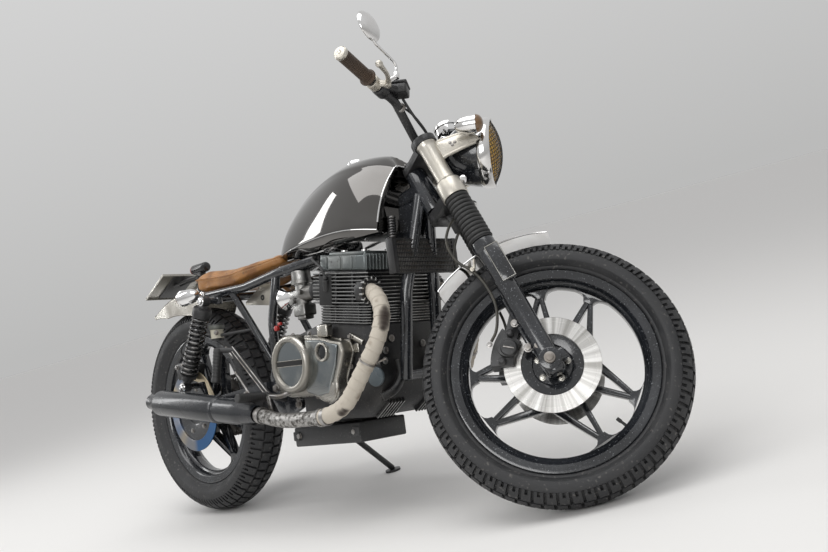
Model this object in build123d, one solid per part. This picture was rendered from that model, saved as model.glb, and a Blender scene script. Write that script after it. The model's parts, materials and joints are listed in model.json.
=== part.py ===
from build123d import *

import os
from math import asin, atan2, cos, degrees, pi, radians, sin, sqrt

os.makedirs("parts", exist_ok=True)

# A twin-cylinder cafe racer, in millimetres.
# It is drawn upright, X forward from the rear axle, Y to the rider's left, Z up from the floor.
# Then the front end is turned to its left stop and the whole leans on the side stand.

# Chassis layout
WHEELBASE = 1397
RAKE = 26.5
TRAIL = 95
LEAN = 11.0
STEER_STOP = 36.7

# Tyres: radius, width and radius of the crown
FRONT_TYRE_R = 316.5
FRONT_TYRE_W = 112
FRONT_CROWN_R = 62
REAR_TYRE_R = 333
REAR_TYRE_W = 130
REAR_CROWN_R = 72
TYRE_SEAT_GAP = 0.4
BLOCK_H = 6
FRONT_BLOCKS = 28
REAR_BLOCKS = 26
TREAD_EDGES = (-1.0, -0.52, -0.44, -0.15, 0.15, 0.44, 0.52, 1.0)
SHOULDER_ROWS = (0, 6)
CENTRE_ROWS = (2, 3, 4)
FENDER_GAP = 20.5
REAR_FENDER_GAP = 50
REAR_FENDER_HALF_W = 74
FENDER_T = 3
FENDER_HALF_W = 50

# Rims, both 18 inch
BEAD_R = 228.6
LIP_R = BEAD_R + 14.4
RIM_INNER_R = BEAD_R - 24.6
WELL_HALF = 15
FRONT_BEAD_HALF = 28
REAR_BEAD_HALF = 36
LIP_T = 5

# Spokes: three groups of two rim junctions, each with two spokes
SPOKE_GROUP_ANGLES = (80, 200, 320)
JUNCTION_HALF_ANGLE = 18
OUTER_SPOKE_HALF_ANGLE = 60
SPOKE_W = 11
SPOKE_T = 24
REAR_SPOKE_W = 14
REAR_SPOKE_T = 30
SPOKE_TAPER = 1.5
INNER_SPOKE_ROOT_R = 44
OUTER_SPOKE_ROOT_R = 86
HUB_ARM_W = 26
JUNCTION_FOOT_ANGLE = 8
JUNCTION_FOOT_H = 24

# Axles, hubs and brake discs
AXLE_R = 8.5
AXLE_CLEAR = 0.05
HUB_END_CLEAR = 0.5
FRONT_HUB_R = 52
FRONT_HUB_HALF = 58
REAR_HUB_R = 60
REAR_HUB_HALF = 68
CARRIER_R = 78
CARRIER_T = 5
CARRIER_RECESS_R = 46
CARRIER_RECESS_HUB_R = 24
DISC_T = 5
FRONT_DISC_R = 112
FRONT_DISC_BORE_R = 71.5
REAR_DISC_R = 132
REAR_DISC_BORE_R = 98
BRAKE_GAP = 5

# Front fork, measured along the steering axis from the level of the axle
FORK_HALF = 98
STANCHION_R = 17.5
SLIDER_R = 24
SLIDER_FOOT = -30
SLIDER_TOP = 338
SIDE_PLATE_SIZE = (34, 14, 104)
SIDE_PLATE_T = 262
AXLE_BOSS_R = 26
SLIDER_COLLAR_R = 29
SLIDER_COLLAR_H = 22
GAITER_R = 31.4
GAITER_VALLEY_R = 27.5
GAITER_RIBS = 12
GAITER_CLEAR = 0.3
LOWER_CLAMP_FROM = 474
LOWER_CLAMP_TO = 522
EAR_TUBE_R = 27
TOP_CLAMP_FROM = 642
TOP_CLAMP_TO = 660
CLAMP_SOCKET_R = 31
CLAMP_BOSS_R = 28
CLAMP_PLATE_T = 22
STEM_R = 15
STEM_CLEAR = 0.05
HEAD_TUBE_R = 27
HEAD_TUBE_GAP = 3

# Headlamp
HEADLAMP_R = 99
HEADLAMP_SHELL_R = 88
HEADLAMP_X = 1240
HEADLAMP_Z = 905
HEADLAMP_RING_W = 34
HEADLAMP_SHELL_L = 106
LENS_R = 88
LENS_BULGE = 16

# Speedometer
DIAL_R = 33

# Indicators
BLINKER_R = 21
REAR_BLINKER_R = 24

# Handlebar and what it carries
BAR_R = 11
BAR_FIT = 0.2
BAR_BENDS = (40, 60, 45, 45, 60, 40)
BAR_CENTRE_X = 1080
BAR_CENTRE_Z = 918
BAR_CLAMP_Y = 42
GRIP_R = 16.5
GRIP_L = 118
GRIP_TO_Y = 400
MIRROR_R = 40
MIRROR_T = 14

# Tank and seat
TANK_TUNNEL_HALF = 34
SEAT_HALF_W = 118

# Frame tubes
BACKBONE_R = 24
DOWNTUBE_R = 16
RAIL_R = 14
RAIL_Y = 106
PLATE_Y = 102
SWINGARM_Y = 101
SWINGARM_T = 20
SWINGARM_H = 44
PIVOT_X = 500
PIVOT_Z = 365
PIVOT_R = 10

# Shock absorbers
SHOCK_Y = 158
SHOCK_TOP = (255, 658)
SHOCK_FOOT = (100, 409)
SPRING_R = 27.5
SPRING_CORE_R = 20.5
SPRING_TURNS = 13

# Engine
CYLINDER_TILT = 9
CYLINDER_BASE = (849, 505)
CASE_HALF_W = 122
FIN_T = 3
CORE_LENGTH = 172
CORE_HALF_W = 123
PORT_COLLAR_R = 36
PORT_COLLAR_TO = 119
HEAD_TOP = 142
COVER_TOP = 192
CLUTCH_COVER_Y = 170
CLUTCH_CAP = (681, 423)
CLUTCH_CAP_R = 78
CLUTCH_CAP_Y = 198
CARB_Y = 82
CARB_R = 26
CARB_SLIDE_X = 640
CARB_BELL_X = 548

# Exhaust
HEADER_R = 22
MUFFLER_Y = 206
MUFFLER_R = 40
MUFFLER_TIP_R = 24
MUFFLER_TIP_L = 60
MUFFLER_CONE_L = 70
MUFFLER_BODY_TO = 505
MUFFLER_END_L = 26

# Chain drive
CHAIN_Y = 78
CHAIN_HALF_W = 7
CHAIN_H = 14
CHAIN_WAIST = 4
CHAIN_PITCH = 15.875
REAR_SPROCKET_R = 88
FRONT_SPROCKET_R = 34
FRONT_SPROCKET = (592, 385)
SPROCKET_T = 5
SPROCKET_HUB_R = 52
SPROCKET_GAP = 1
CHAIN_CLEAR = 3

# Foot pegs
PEG_R = 12
PEG_COLLAR_TO = 18

# Side stand
STAND_PIVOT = (475, 105, 225)
STAND_FOOT = (497, 308)
STAND_FOOT_T = 6
STAND_LEG_R = 9
STAND_PIN_R = 6
STAND_CLEAR = 0.05


# Directions and reference points, upright

rake = radians(RAKE)
fork_offset = FRONT_TYRE_R * sin(rake) - TRAIL * cos(rake)
AXIS_UP = Vector(-sin(rake), 0, cos(rake))
AXIS_FORWARD = Vector(cos(rake), 0, sin(rake))
FRONT_AXLE = Vector(WHEELBASE, 0, FRONT_TYRE_R)
REAR_AXLE = Vector(0, 0, REAR_TYRE_R)
STEER_FOOT = FRONT_AXLE - AXIS_FORWARD * fork_offset
FORK = Plane(origin=STEER_FOOT, x_dir=AXIS_FORWARD, z_dir=AXIS_UP)
tilt = radians(CYLINDER_TILT)
CYLINDERS = Plane(
    origin=(CYLINDER_BASE[0], 0, CYLINDER_BASE[1]),
    x_dir=(cos(tilt), 0, -sin(tilt)),
    z_dir=(sin(tilt), 0, cos(tilt)),
)


def at_fork(n, y, t):
    """A point n ahead of the steering axis, y to the left and t up the axis."""
    return FORK.from_local_coords(Vector(n, y, t))


def at_cylinders(x, y, z):
    """A point of the tilted cylinder block."""
    return CYLINDERS.from_local_coords(Vector(x, y, z))


# How it stands: turned to the left stop, then pitched, leaned and set on the floor

steer_frame = Location(FORK)
TURN = steer_frame * Rotation(0, 0, STEER_STOP) * steer_frame.inverse()


def rest_on_floor():
    """The placing that leans the machine and brings both tyres down to the floor."""
    pitch = 0.0
    turned_axle = Pos(*FRONT_AXLE)
    turned_axle = TURN * turned_axle
    for _ in range(8):
        lean = Rotation(-LEAN, 0, 0) * Rotation(0, pitch, 0)
        lows = []
        for hub, radius, crown in (
            (lean * turned_axle, FRONT_TYRE_R, FRONT_CROWN_R),
            (lean * Pos(*REAR_AXLE), REAR_TYRE_R, REAR_CROWN_R),
        ):
            axle_z = (hub * Pos(0, 1, 0)).position.Z - hub.position.Z
            lows.append(hub.position.Z - (radius - crown) * sqrt(1 - axle_z**2) - crown)
        pitch += degrees((lows[0] - lows[1]) / WHEELBASE)
    return Pos(0, 0, -lows[1]) * lean


PARK = rest_on_floor()


# Small shapes used throughout


def rod(start, end, radius):
    """A round bar from start to end."""
    start = Vector(*start)
    end = Vector(*end)
    along = end - start
    bar = Cylinder(radius, along.length, align=(Align.CENTER, Align.CENTER, Align.MIN))
    return Plane(origin=start, z_dir=along) * bar


def cone(start, end, start_r, end_r):
    """A round taper from start to end."""
    start = Vector(*start)
    end = Vector(*end)
    along = end - start
    taper = Cone(start_r, end_r, along.length, align=(Align.CENTER, Align.CENTER, Align.MIN))
    return Plane(origin=start, z_dir=along) * taper


def cross_rod(x, z, radius, y_from, y_to):
    """A round bar across the machine."""
    return rod((x, y_from, z), (x, y_to, z), radius)


def tube(points, bend, radius):
    """A round tube along straight runs joined by arcs."""
    path = FilletPolyline(*points, radius=bend)
    return sweep(Plane(origin=path @ 0, z_dir=path % 0) * Circle(radius), path=path)


def slab(outline, y_from, y_to):
    """A plate with an outline of X and Z, from one Y to another."""
    face = make_face(Polyline(*[(x, y_from, z) for x, z in outline], close=True))
    return extrude(face, amount=y_to - y_from, dir=(0, 1, 0))


def block(x_range, y_range, z_range):
    """A box between two corners."""
    size = [b - a for a, b in (x_range, y_range, z_range)]
    middle = [(a + b) / 2 for a, b in (x_range, y_range, z_range)]
    return Pos(*middle) * Box(*size)


def both_sides(shape):
    """The shape with its mirror image across the middle of the machine."""
    return Compound([*shape.solids(), *mirror(shape, about=Plane.XZ).solids()])


def polar(radius, angle):
    """X and Z of a point about an axle."""
    return radius * cos(radians(angle)), radius * sin(radians(angle))


def largest(shape):
    """The largest solid of a shape, without loose offcuts."""
    return max(shape.solids(), key=lambda solid: solid.volume)


def turned(profile, start, end):
    """A profile of radius and height, turned about the line from start towards end."""
    start = Vector(*start)
    face = make_face(Polyline(*[(r, 0, h) for r, h in profile], close=True))
    return Plane(origin=start, z_dir=Vector(*end) - start) * revolve(face, axis=Axis.Z)


def ribs(count, height, valley_r, peak_r):
    """The outline of a ribbed sleeve: a valley and a flat-topped rib for each turn."""
    pitch = height / count
    points = []
    for number in range(count):
        low = number * pitch
        points = points + [(valley_r, low), (peak_r, low + 0.25 * pitch), (peak_r, low + 0.7 * pitch)]
    return points + [(valley_r, height)]


nodes = {}


def keep(name, shape, place=None):
    """Sets one finished piece aside under its name, at its place."""
    place = place or Location()
    solids = [place * s for s in shape.solids()]
    nodes[name] = solids[0] if len(solids) == 1 else Compound(solids)
    return shape


STEERED = PARK * TURN


# Wheels, each about its own axle at the origin first


def lowest_angle(place):
    """The angle about a wheel's own axle that points down to the floor."""
    still = place.inverse() * Pos(0, 0, 0)
    down = (place.inverse() * Pos(0, 0, -1)).position - still.position
    return degrees(atan2(down.Z, down.X))


def flat_face(points):
    """A flat face with straight edges through the points."""
    return Face(Wire.make_polygon(points, close=True))


def tyre(radius, width, crown, bead_half, blocks, contact_angle):
    """A tyre ring out to its tread, with rows of blocks; one centre block meets the floor."""
    crown_r = radius - crown
    shoulder = asin((width / 2 - 6) / crown)
    steps = 2 * blocks
    step = 2 * pi / steps
    first = radians(contact_angle) - step * 3 / 2
    round_out = 1 / cos(step / 2)
    flange_r = (LIP_R + TYRE_SEAT_GAP) * round_out
    wall_r = (flange_r + crown_r + crown * cos(shoulder)) / 2
    wall = [
        ((BEAD_R + TYRE_SEAT_GAP) * round_out, bead_half - TYRE_SEAT_GAP),
        (flange_r, bead_half - TYRE_SEAT_GAP),
        (wall_r, width / 2 - 2),
    ]

    def across(height):
        ways = [share * shoulder for share in TREAD_EDGES]
        return [(crown_r + height * cos(way), height * sin(way)) for way in ways]

    base = across(crown - BLOCK_H)
    tips = across(crown)
    section = [(r, -y) for r, y in wall] + base + [(r, y) for r, y in reversed(wall)]
    tread_from = len(wall)

    def spot(point, number):
        angle = first + number * step
        return Vector(point[0] * cos(angle), point[1], point[0] * sin(angle))

    def between(one, other, number):
        return [spot(one, number), spot(other, number), spot(other, number + 1), spot(one, number + 1)]

    faces = []
    for number in range(steps):
        raised = SHOULDER_ROWS if number % 2 == 0 else CENTRE_ROWS
        for place, point in enumerate(section):
            row = place - tread_from
            if row in raised:
                continue
            following = section[(place + 1) % len(section)]
            faces.append(flat_face(between(point, following, number)))
        for row in raised:
            faces.append(flat_face(between(tips[row], tips[row + 1], number)))
            for at in (number, number + 1):
                side = [spot(base[row], at), spot(base[row + 1], at), spot(tips[row + 1], at), spot(tips[row], at)]
                faces.append(flat_face(side))
            for edge, beyond in ((row, row - 1), (row + 1, row + 1)):
                if beyond in raised:
                    continue
                faces.append(flat_face(between(base[edge], tips[edge], number)))
    return Solid(Shell(faces))


def rim_ring(bead_half):
    """The rim, with a well, two bead seats and two lips."""
    lip_out = bead_half + LIP_T
    half = [
        (RIM_INNER_R, WELL_HALF),
        (RIM_INNER_R + 8, WELL_HALF + 7),
        (BEAD_R - 9, lip_out - 2),
        (LIP_R - 4, lip_out),
        (LIP_R, lip_out - 2),
        (LIP_R, bead_half),
        (BEAD_R, bead_half),
        (BEAD_R, WELL_HALF + 5),
        (BEAD_R - 10, WELL_HALF - 2),
    ]
    outline = half + [(r, -y) for r, y in reversed(half)]
    return revolve(make_face(Polyline(*outline, close=True)), axis=Axis.Y)


def spoke(start, end, width, thickness):
    """A flat spoke between two points in the plane of the wheel."""
    (x0, z0), (x1, z1) = start, end
    length = sqrt((x1 - x0) ** 2 + (z1 - z0) ** 2)
    across = (-(z1 - z0) / length * width / 2, (x1 - x0) / length * width / 2)
    root = (across[0] * SPOKE_TAPER, across[1] * SPOKE_TAPER)
    outline = [
        (x0 - root[0], z0 - root[1]),
        (x1 - across[0], z1 - across[1]),
        (x1 + across[0], z1 + across[1]),
        (x0 + root[0], z0 + root[1]),
    ]
    return slab(outline, -thickness / 2, thickness / 2)


def spokes(width, thickness):
    """Six rim junctions in three groups, each with a foot and two spokes."""
    pieces = []
    for group in SPOKE_GROUP_ANGLES:
        for side in (-1, 1):
            junction = group + side * JUNCTION_HALF_ANGLE
            tip = polar(RIM_INNER_R - 4, junction)
            inner_root = polar(INNER_SPOKE_ROOT_R, group)
            outer_root = polar(OUTER_SPOKE_ROOT_R, group + side * OUTER_SPOKE_HALF_ANGLE)
            pieces.append(spoke(inner_root, tip, width, thickness))
            pieces.append(spoke(outer_root, tip, width, thickness))
            foot = [
                polar(RIM_INNER_R + 4, junction - JUNCTION_FOOT_ANGLE),
                polar(RIM_INNER_R + 4, junction + JUNCTION_FOOT_ANGLE),
                polar(RIM_INNER_R + 4 - JUNCTION_FOOT_H, junction),
            ]
            pieces.append(slab(foot, -thickness / 2, thickness / 2))
        between = group + OUTER_SPOKE_HALF_ANGLE
        arm_from = polar(INNER_SPOKE_ROOT_R, between)
        arm_to = polar(OUTER_SPOKE_ROOT_R + 8, between)
        pieces.append(spoke(arm_from, arm_to, HUB_ARM_W, thickness))
    return pieces


def brake_carrier(hub_half, side, outer_r):
    """The flange at a hub's end that a brake disc is bolted to."""
    near = side * (hub_half - 1)
    far = side * (hub_half + CARRIER_T)
    plate = cross_rod(0, 0, outer_r, near, far)
    recess = cross_rod(0, 0, CARRIER_RECESS_R, far - side * 4, far + side)
    recess = recess - cross_rod(0, 0, CARRIER_RECESS_HUB_R, far - side * 5, far + side * 2)
    return plate - recess


def brake_disc(outer_r, bore_r, y_from, y_to):
    """A flat ring."""
    return cross_rod(0, 0, outer_r, y_from, y_to) - cross_rod(0, 0, bore_r, y_from, y_to)


axle_bore = cross_rod(0, 0, AXLE_R + AXLE_CLEAR, -200, 200)

# Front wheel: rim, hub and both brake carriers
front_rim = rim_ring(FRONT_BEAD_HALF) + cross_rod(0, 0, FRONT_HUB_R, -FRONT_HUB_HALF, FRONT_HUB_HALF)
front_rim = front_rim + spokes(SPOKE_W, SPOKE_T)
for side in (-1, 1):
    front_rim = front_rim + brake_carrier(FRONT_HUB_HALF, side, CARRIER_R)
front_rim = front_rim - axle_bore
front_disc_y = FRONT_HUB_HALF + CARRIER_T
front_discs = both_sides(
    brake_disc(FRONT_DISC_R, FRONT_DISC_BORE_R, -front_disc_y - DISC_T, -front_disc_y)
)
front_hub_place = STEERED * Pos(*FRONT_AXLE)
front_low = lowest_angle(front_hub_place)
front_tyre = tyre(FRONT_TYRE_R, FRONT_TYRE_W, FRONT_CROWN_R, FRONT_BEAD_HALF, FRONT_BLOCKS, front_low)
keep("front_rim", front_rim, front_hub_place)
keep("front_tyre", front_tyre, front_hub_place)
keep("front_brake_discs", front_discs, front_hub_place)

# Rear wheel: rim, hub, one disc on the right, and the sprocket on the left
rear_disc_y = REAR_HUB_HALF + CARRIER_T
rear_rim = rim_ring(REAR_BEAD_HALF) + cross_rod(0, 0, REAR_HUB_R, -REAR_HUB_HALF, REAR_HUB_HALF)
rear_rim = rear_rim + spokes(REAR_SPOKE_W, REAR_SPOKE_T)
rear_rim = rear_rim + brake_carrier(REAR_HUB_HALF, -1, REAR_DISC_BORE_R + 6)
rear_rim = rear_rim - axle_bore
rear_disc = brake_disc(REAR_DISC_R, REAR_DISC_BORE_R, -rear_disc_y - DISC_T, -rear_disc_y)
sprocket_bore_r = AXLE_R + AXLE_CLEAR
sprocket_half = SPROCKET_T / 2
rear_sprocket = brake_disc(REAR_SPROCKET_R, sprocket_bore_r, CHAIN_Y - sprocket_half, CHAIN_Y + sprocket_half)
rear_sprocket = rear_sprocket + brake_disc(SPROCKET_HUB_R, sprocket_bore_r, REAR_HUB_HALF, CHAIN_Y)
rear_hub_place = PARK * Pos(*REAR_AXLE)
rear_low = lowest_angle(rear_hub_place)
rear_tyre = tyre(REAR_TYRE_R, REAR_TYRE_W, REAR_CROWN_R, REAR_BEAD_HALF, REAR_BLOCKS, rear_low)
keep("rear_rim", rear_rim, rear_hub_place)
keep("rear_tyre", rear_tyre, rear_hub_place)
keep("rear_brake_disc", rear_disc, rear_hub_place)
keep("rear_sprocket", rear_sprocket, rear_hub_place)


# Front end, straight ahead


def fork_bar(n, t_from, t_to, radius, y=0):
    """A round bar along the steering axis, n ahead of it and y to the left."""
    bar = Cylinder(radius, t_to - t_from, align=(Align.CENTER, Align.CENTER, Align.MIN))
    return FORK * (Pos(n, y, t_from) * bar)


boss_from = FRONT_HUB_HALF + CARRIER_T + DISC_T + BRAKE_GAP
boss_to = FORK_HALF + SLIDER_R + 1


def axle_rod(radius, y_from, y_to):
    """A round bar along the front axle."""
    return cross_rod(FRONT_AXLE.X, FRONT_AXLE.Z, radius, y_from, y_to)


# Fork legs: slider, axle boss, collar and stanchion
leg = fork_bar(fork_offset, SLIDER_FOOT, SLIDER_TOP, SLIDER_R, -FORK_HALF)
leg = leg + fork_bar(fork_offset, SLIDER_TOP - SLIDER_COLLAR_H, SLIDER_TOP, SLIDER_COLLAR_R, -FORK_HALF)
leg = leg + axle_rod(AXLE_BOSS_R, -boss_from, -boss_to)
leg = leg + fork_bar(fork_offset, SLIDER_TOP - 5, TOP_CLAMP_TO + 3, STANCHION_R, -FORK_HALF)
side_plate = Box(*SIDE_PLATE_SIZE)
leg = leg + FORK * (Pos(fork_offset + 14, -FORK_HALF - 20, SIDE_PLATE_T) * side_plate)
leg = leg - axle_rod(AXLE_R, -200, 0)
keep("fork_legs", both_sides(leg), STEERED)

# Rubber gaiters over the stanchions
gaiter_h = LOWER_CLAMP_FROM - SLIDER_TOP
gaiter_bore_r = STANCHION_R + GAITER_CLEAR
gaiter_outline = ribs(GAITER_RIBS, gaiter_h, GAITER_VALLEY_R, GAITER_R)
gaiter_outline = [(gaiter_bore_r, 0)] + gaiter_outline + [(gaiter_bore_r, gaiter_h)]
gaiter_foot = at_fork(fork_offset, -FORK_HALF, SLIDER_TOP)
gaiter = turned(gaiter_outline, gaiter_foot, gaiter_foot + AXIS_UP)
keep("fork_gaiters", both_sides(gaiter), STEERED)


# Clamps and stem
def clamp_plate(t_from, t_to, socket_r):
    """A clamp across both legs and the stem."""
    height = t_to - t_from
    middle = (t_from + t_to) / 2
    thick = min(height, CLAMP_PLATE_T)
    outline = [
        (-20, 18),
        (fork_offset - 24, FORK_HALF - 12),
        (fork_offset + 22, FORK_HALF - 12),
        (fork_offset + 6, 30),
    ]
    outline = outline + [(n, -y) for n, y in reversed(outline)]
    flat = extrude(make_face(Polyline(*outline, close=True)), amount=thick)
    plate = FORK * (Pos(0, 0, middle - thick / 2) * flat)
    plate = plate + fork_bar(0, middle - thick / 2, middle + thick / 2, CLAMP_BOSS_R)
    for side in (-1, 1):
        plate = plate + fork_bar(fork_offset, t_from, t_to, socket_r, side * FORK_HALF)
    return plate


stanchion_holes = [
    fork_bar(fork_offset, LOWER_CLAMP_FROM - 5, TOP_CLAMP_TO + 20, STANCHION_R, side * FORK_HALF)
    for side in (-1, 1)
]
clamps = clamp_plate(LOWER_CLAMP_FROM, LOWER_CLAMP_TO, CLAMP_SOCKET_R)
clamps = clamps + clamp_plate(TOP_CLAMP_FROM, TOP_CLAMP_TO, CLAMP_SOCKET_R)
clamps = clamps + fork_bar(0, LOWER_CLAMP_FROM + 10, TOP_CLAMP_TO, STEM_R)
clamps = clamps + fork_bar(0, TOP_CLAMP_TO, TOP_CLAMP_TO + 14, 17)
for side in (-1, 1):
    riser_foot = at_fork(fork_offset / 2, side * BAR_CLAMP_Y, TOP_CLAMP_TO - 4)
    clamps = clamps + rod(riser_foot, (BAR_CENTRE_X, side * BAR_CLAMP_Y, BAR_CENTRE_Z), 13)
    clamps = clamps + cross_rod(
        BAR_CENTRE_X, BAR_CENTRE_Z, BAR_R + 8, side * (BAR_CLAMP_Y - 14), side * (BAR_CLAMP_Y + 14)
    )
clamps = clamps - stanchion_holes
clamps = clamps - cross_rod(BAR_CENTRE_X, BAR_CENTRE_Z, BAR_R, -90, 90)
keep("triple_clamps", clamps, STEERED)

# Headlamp
lamp_back = HEADLAMP_X - HEADLAMP_SHELL_L
shell = cone((lamp_back + 26, 0, HEADLAMP_Z), (HEADLAMP_X - 20, 0, HEADLAMP_Z), 68, HEADLAMP_SHELL_R)
shell = shell + rod((HEADLAMP_X - 20, 0, HEADLAMP_Z), (HEADLAMP_X, 0, HEADLAMP_Z), HEADLAMP_SHELL_R)
shell = shell + cone((lamp_back, 0, HEADLAMP_Z), (lamp_back + 26, 0, HEADLAMP_Z), 34, 68)
ring = rod((HEADLAMP_X, 0, HEADLAMP_Z), (HEADLAMP_X + HEADLAMP_RING_W, 0, HEADLAMP_Z), HEADLAMP_R)
lens_seat = HEADLAMP_X + 12
ring = ring - rod((lens_seat, 0, HEADLAMP_Z), (HEADLAMP_X + 60, 0, HEADLAMP_Z), LENS_R)
keep("headlamp", shell + ring, STEERED)
lens_flat = HEADLAMP_X + HEADLAMP_RING_W - 8
lens_sphere_r = (LENS_R**2 + LENS_BULGE**2) / (2 * LENS_BULGE)
half_way = LENS_R / 2
half_bulge = LENS_BULGE - lens_sphere_r + sqrt(lens_sphere_r**2 - half_way**2)
lens_profile = [
    Line((lens_seat, 0), (lens_seat, LENS_R)),
    Line((lens_seat, LENS_R), (lens_flat, LENS_R)),
    ThreePointArc((lens_flat, LENS_R), (lens_flat + half_bulge, half_way), (lens_flat + LENS_BULGE, 0)),
    Line((lens_flat + LENS_BULGE, 0), (lens_seat, 0)),
]
lens = Pos(0, 0, HEADLAMP_Z) * revolve(make_face(lens_profile), axis=Axis.X)
keep("headlamp_lens", lens, STEERED)

# Ear tubes between the clamps, each with a plate out to the headlamp
ear_from = LOWER_CLAMP_TO
ear_to = TOP_CLAMP_FROM
ear_plate_in = HEADLAMP_SHELL_R + 2
ear = fork_bar(fork_offset, ear_from, ear_to, EAR_TUBE_R, -FORK_HALF)
ear_root = Vector(FRONT_AXLE.X, 0, FRONT_AXLE.Z) + AXIS_UP * 612
ear_outline = [
    (ear_root.X + 4, ear_root.Z - 22),
    (ear_root.X - 4, ear_root.Z + 22),
    (HEADLAMP_X - 26, HEADLAMP_Z + 18),
    (HEADLAMP_X - 2, HEADLAMP_Z + 4),
    (HEADLAMP_X - 2, HEADLAMP_Z - 10),
    (HEADLAMP_X - 26, HEADLAMP_Z - 20),
]
ear = ear + slab(ear_outline, -ear_plate_in - 12, -ear_plate_in)
ear = ear - fork_bar(fork_offset, ear_from - 1, ear_to + 1, STANCHION_R, -FORK_HALF)
keep("headlamp_ears", both_sides(ear), STEERED)

# Front indicators above the ears
blinker_x = HEADLAMP_X - 22
blinker = cross_rod(blinker_x, HEADLAMP_Z + 18, 7, -ear_plate_in - 6, -ear_plate_in - 30)
stalk_y = -ear_plate_in - 6
blinker = blinker + rod((blinker_x, stalk_y, HEADLAMP_Z + 8), (blinker_x, stalk_y, HEADLAMP_Z + 24), 6)
blinker_at = Vector(blinker_x, -ear_plate_in - 40, HEADLAMP_Z + 17)
ahead = Vector(1, 0, 0)
blinker = blinker + rod(blinker_at - ahead * 18, blinker_at + ahead * 30, BLINKER_R)
blinker = blinker + cone(blinker_at - ahead * 40, blinker_at - ahead * 18, 12, BLINKER_R)
blinker = blinker - slab(ear_outline, -ear_plate_in - 12, -ear_plate_in)
keep("front_indicators", both_sides(blinker), STEERED)

# Speedometer ahead of the top clamp
dial_foot = at_fork(fork_offset, 0, TOP_CLAMP_TO + 3)
dial_at = Vector(1150, 0, 964)
dial_up = Vector(-0.30, 0, 0.954)
speedometer = rod(dial_at, dial_at + dial_up * 26, DIAL_R - 3)
speedometer = speedometer + rod(dial_at + dial_up * 22, dial_at + dial_up * 33, DIAL_R)
speedometer = speedometer + rod(dial_foot, dial_at + dial_up * 4, 8)
speedometer = speedometer - clamps - shell
speedometer = speedometer - cross_rod(BAR_CENTRE_X, BAR_CENTRE_Z, BAR_R + 1, -90, 90)
keep("speedometer", largest(speedometer), STEERED)

# Handlebar
bar_half = [
    (BAR_CENTRE_X, 0, BAR_CENTRE_Z),
    (BAR_CENTRE_X, -72, BAR_CENTRE_Z),
    (1052, -190, 972),
    (1020, -262, 984),
    (977, -GRIP_TO_Y - 4, 986),
]
bar_points = [(x, -y, z) for x, y, z in reversed(bar_half[1:])] + bar_half[1:]
handlebar = tube(bar_points, BAR_BENDS, BAR_R)
keep("handlebar", handlebar, STEERED)

# Grips on its two ends
bar_end = Vector(*bar_half[4])
grip_way = (bar_end - Vector(*bar_half[3])).normalized()
grip_start = bar_end - grip_way * GRIP_L
grip = rod(grip_start, bar_end + grip_way * 6, GRIP_R)
grip = grip + rod(grip_start, grip_start + grip_way * 6, GRIP_R + 5)
grip = grip - rod(grip_start - grip_way, bar_end + grip_way * 0.1, BAR_R + BAR_FIT)
keep("grips", both_sides(grip), STEERED)

# Levers with their perches, and the front brake's master cylinder on the right
perch_at = grip_start - grip_way * 24
perch = rod(perch_at - grip_way * 14, perch_at + grip_way * 14, 18)
pivot = perch_at + Vector(34, 4, -4)
perch = perch + rod(perch_at, pivot, 8)
lever_points = [
    tuple(pivot),
    tuple(pivot + grip_way * 60 + Vector(16, 0, 0)),
    tuple(pivot + grip_way * 165 + Vector(20, 0, -2)),
]
lever = tube(lever_points, 60, 6) + Pos(*lever_points[-1]) * Sphere(9)
switch_box = rod(perch_at - grip_way * 50, perch_at - grip_way * 16, 20)
bar_space = tube(bar_points, BAR_BENDS, BAR_R + BAR_FIT)
controls = perch + lever + switch_box
reservoir = Pos(*(perch_at + Vector(26, 44, 22))) * Box(44, 46, 34)
right_controls = controls + reservoir + rod(perch_at + Vector(6, 30, 4), perch_at + Vector(24, 40, 12), 9)
left_controls = mirror(controls, about=Plane.XZ)
controls_cut = [largest(half - bar_space) for half in (right_controls, left_controls)]
keep("hand_controls", Compound(controls_cut), STEERED)

# Mirrors on stems from the perches
mirror_foot = perch_at + Vector(2, 0, 18)
mirror_at = Vector(1030, -352, 1090)
facing = Vector(0.96, -0.18, 0.2).normalized()
looking = rod(mirror_at - facing * (MIRROR_T / 2), mirror_at + facing * (MIRROR_T / 2), MIRROR_R)
stem_points = [tuple(mirror_foot), tuple(mirror_foot + Vector(2, 0, 34)), tuple(mirror_at - Vector(0, 0, 6))]
looking = looking + tube(stem_points, 14, 4)
looking = looking - perch
keep("mirrors", both_sides(looking), STEERED)


# Front fender: a narrow blade over the tyre, with a brace to each leg
def arc_strip(inner_r, outer_r, angle_from, angle_to, y_from, y_to):
    """A strip about an axle, between two angles."""
    middle = (angle_from + angle_to) / 2
    edges = [
        ThreePointArc(polar(outer_r, angle_from), polar(outer_r, middle), polar(outer_r, angle_to)),
        Line(polar(outer_r, angle_to), polar(inner_r, angle_to)),
        ThreePointArc(polar(inner_r, angle_to), polar(inner_r, middle), polar(inner_r, angle_from)),
        Line(polar(inner_r, angle_from), polar(outer_r, angle_from)),
    ]
    face = Plane(origin=(0, y_to, 0), x_dir=(1, 0, 0), z_dir=(0, -1, 0)) * make_face(edges)
    return extrude(face, amount=y_to - y_from)


fender_r = FRONT_TYRE_R + FENDER_GAP
fender = Pos(*FRONT_AXLE) * arc_strip(fender_r, fender_r + FENDER_T, 90, 143, -FENDER_HALF_W, FENDER_HALF_W)
brace_t = SLIDER_TOP - 14
brace_length = 2 * (FORK_HALF - SLIDER_COLLAR_R) - 0.6
brace = FORK * (Pos(fork_offset, 0, brace_t) * Box(16, brace_length, 6))
brace = brace + FORK * (Pos(fork_offset, 0, brace_t + 9) * Box(16, 80, 16))
fender = fender + brace
keep("front_fender", fender, STEERED)

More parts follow.
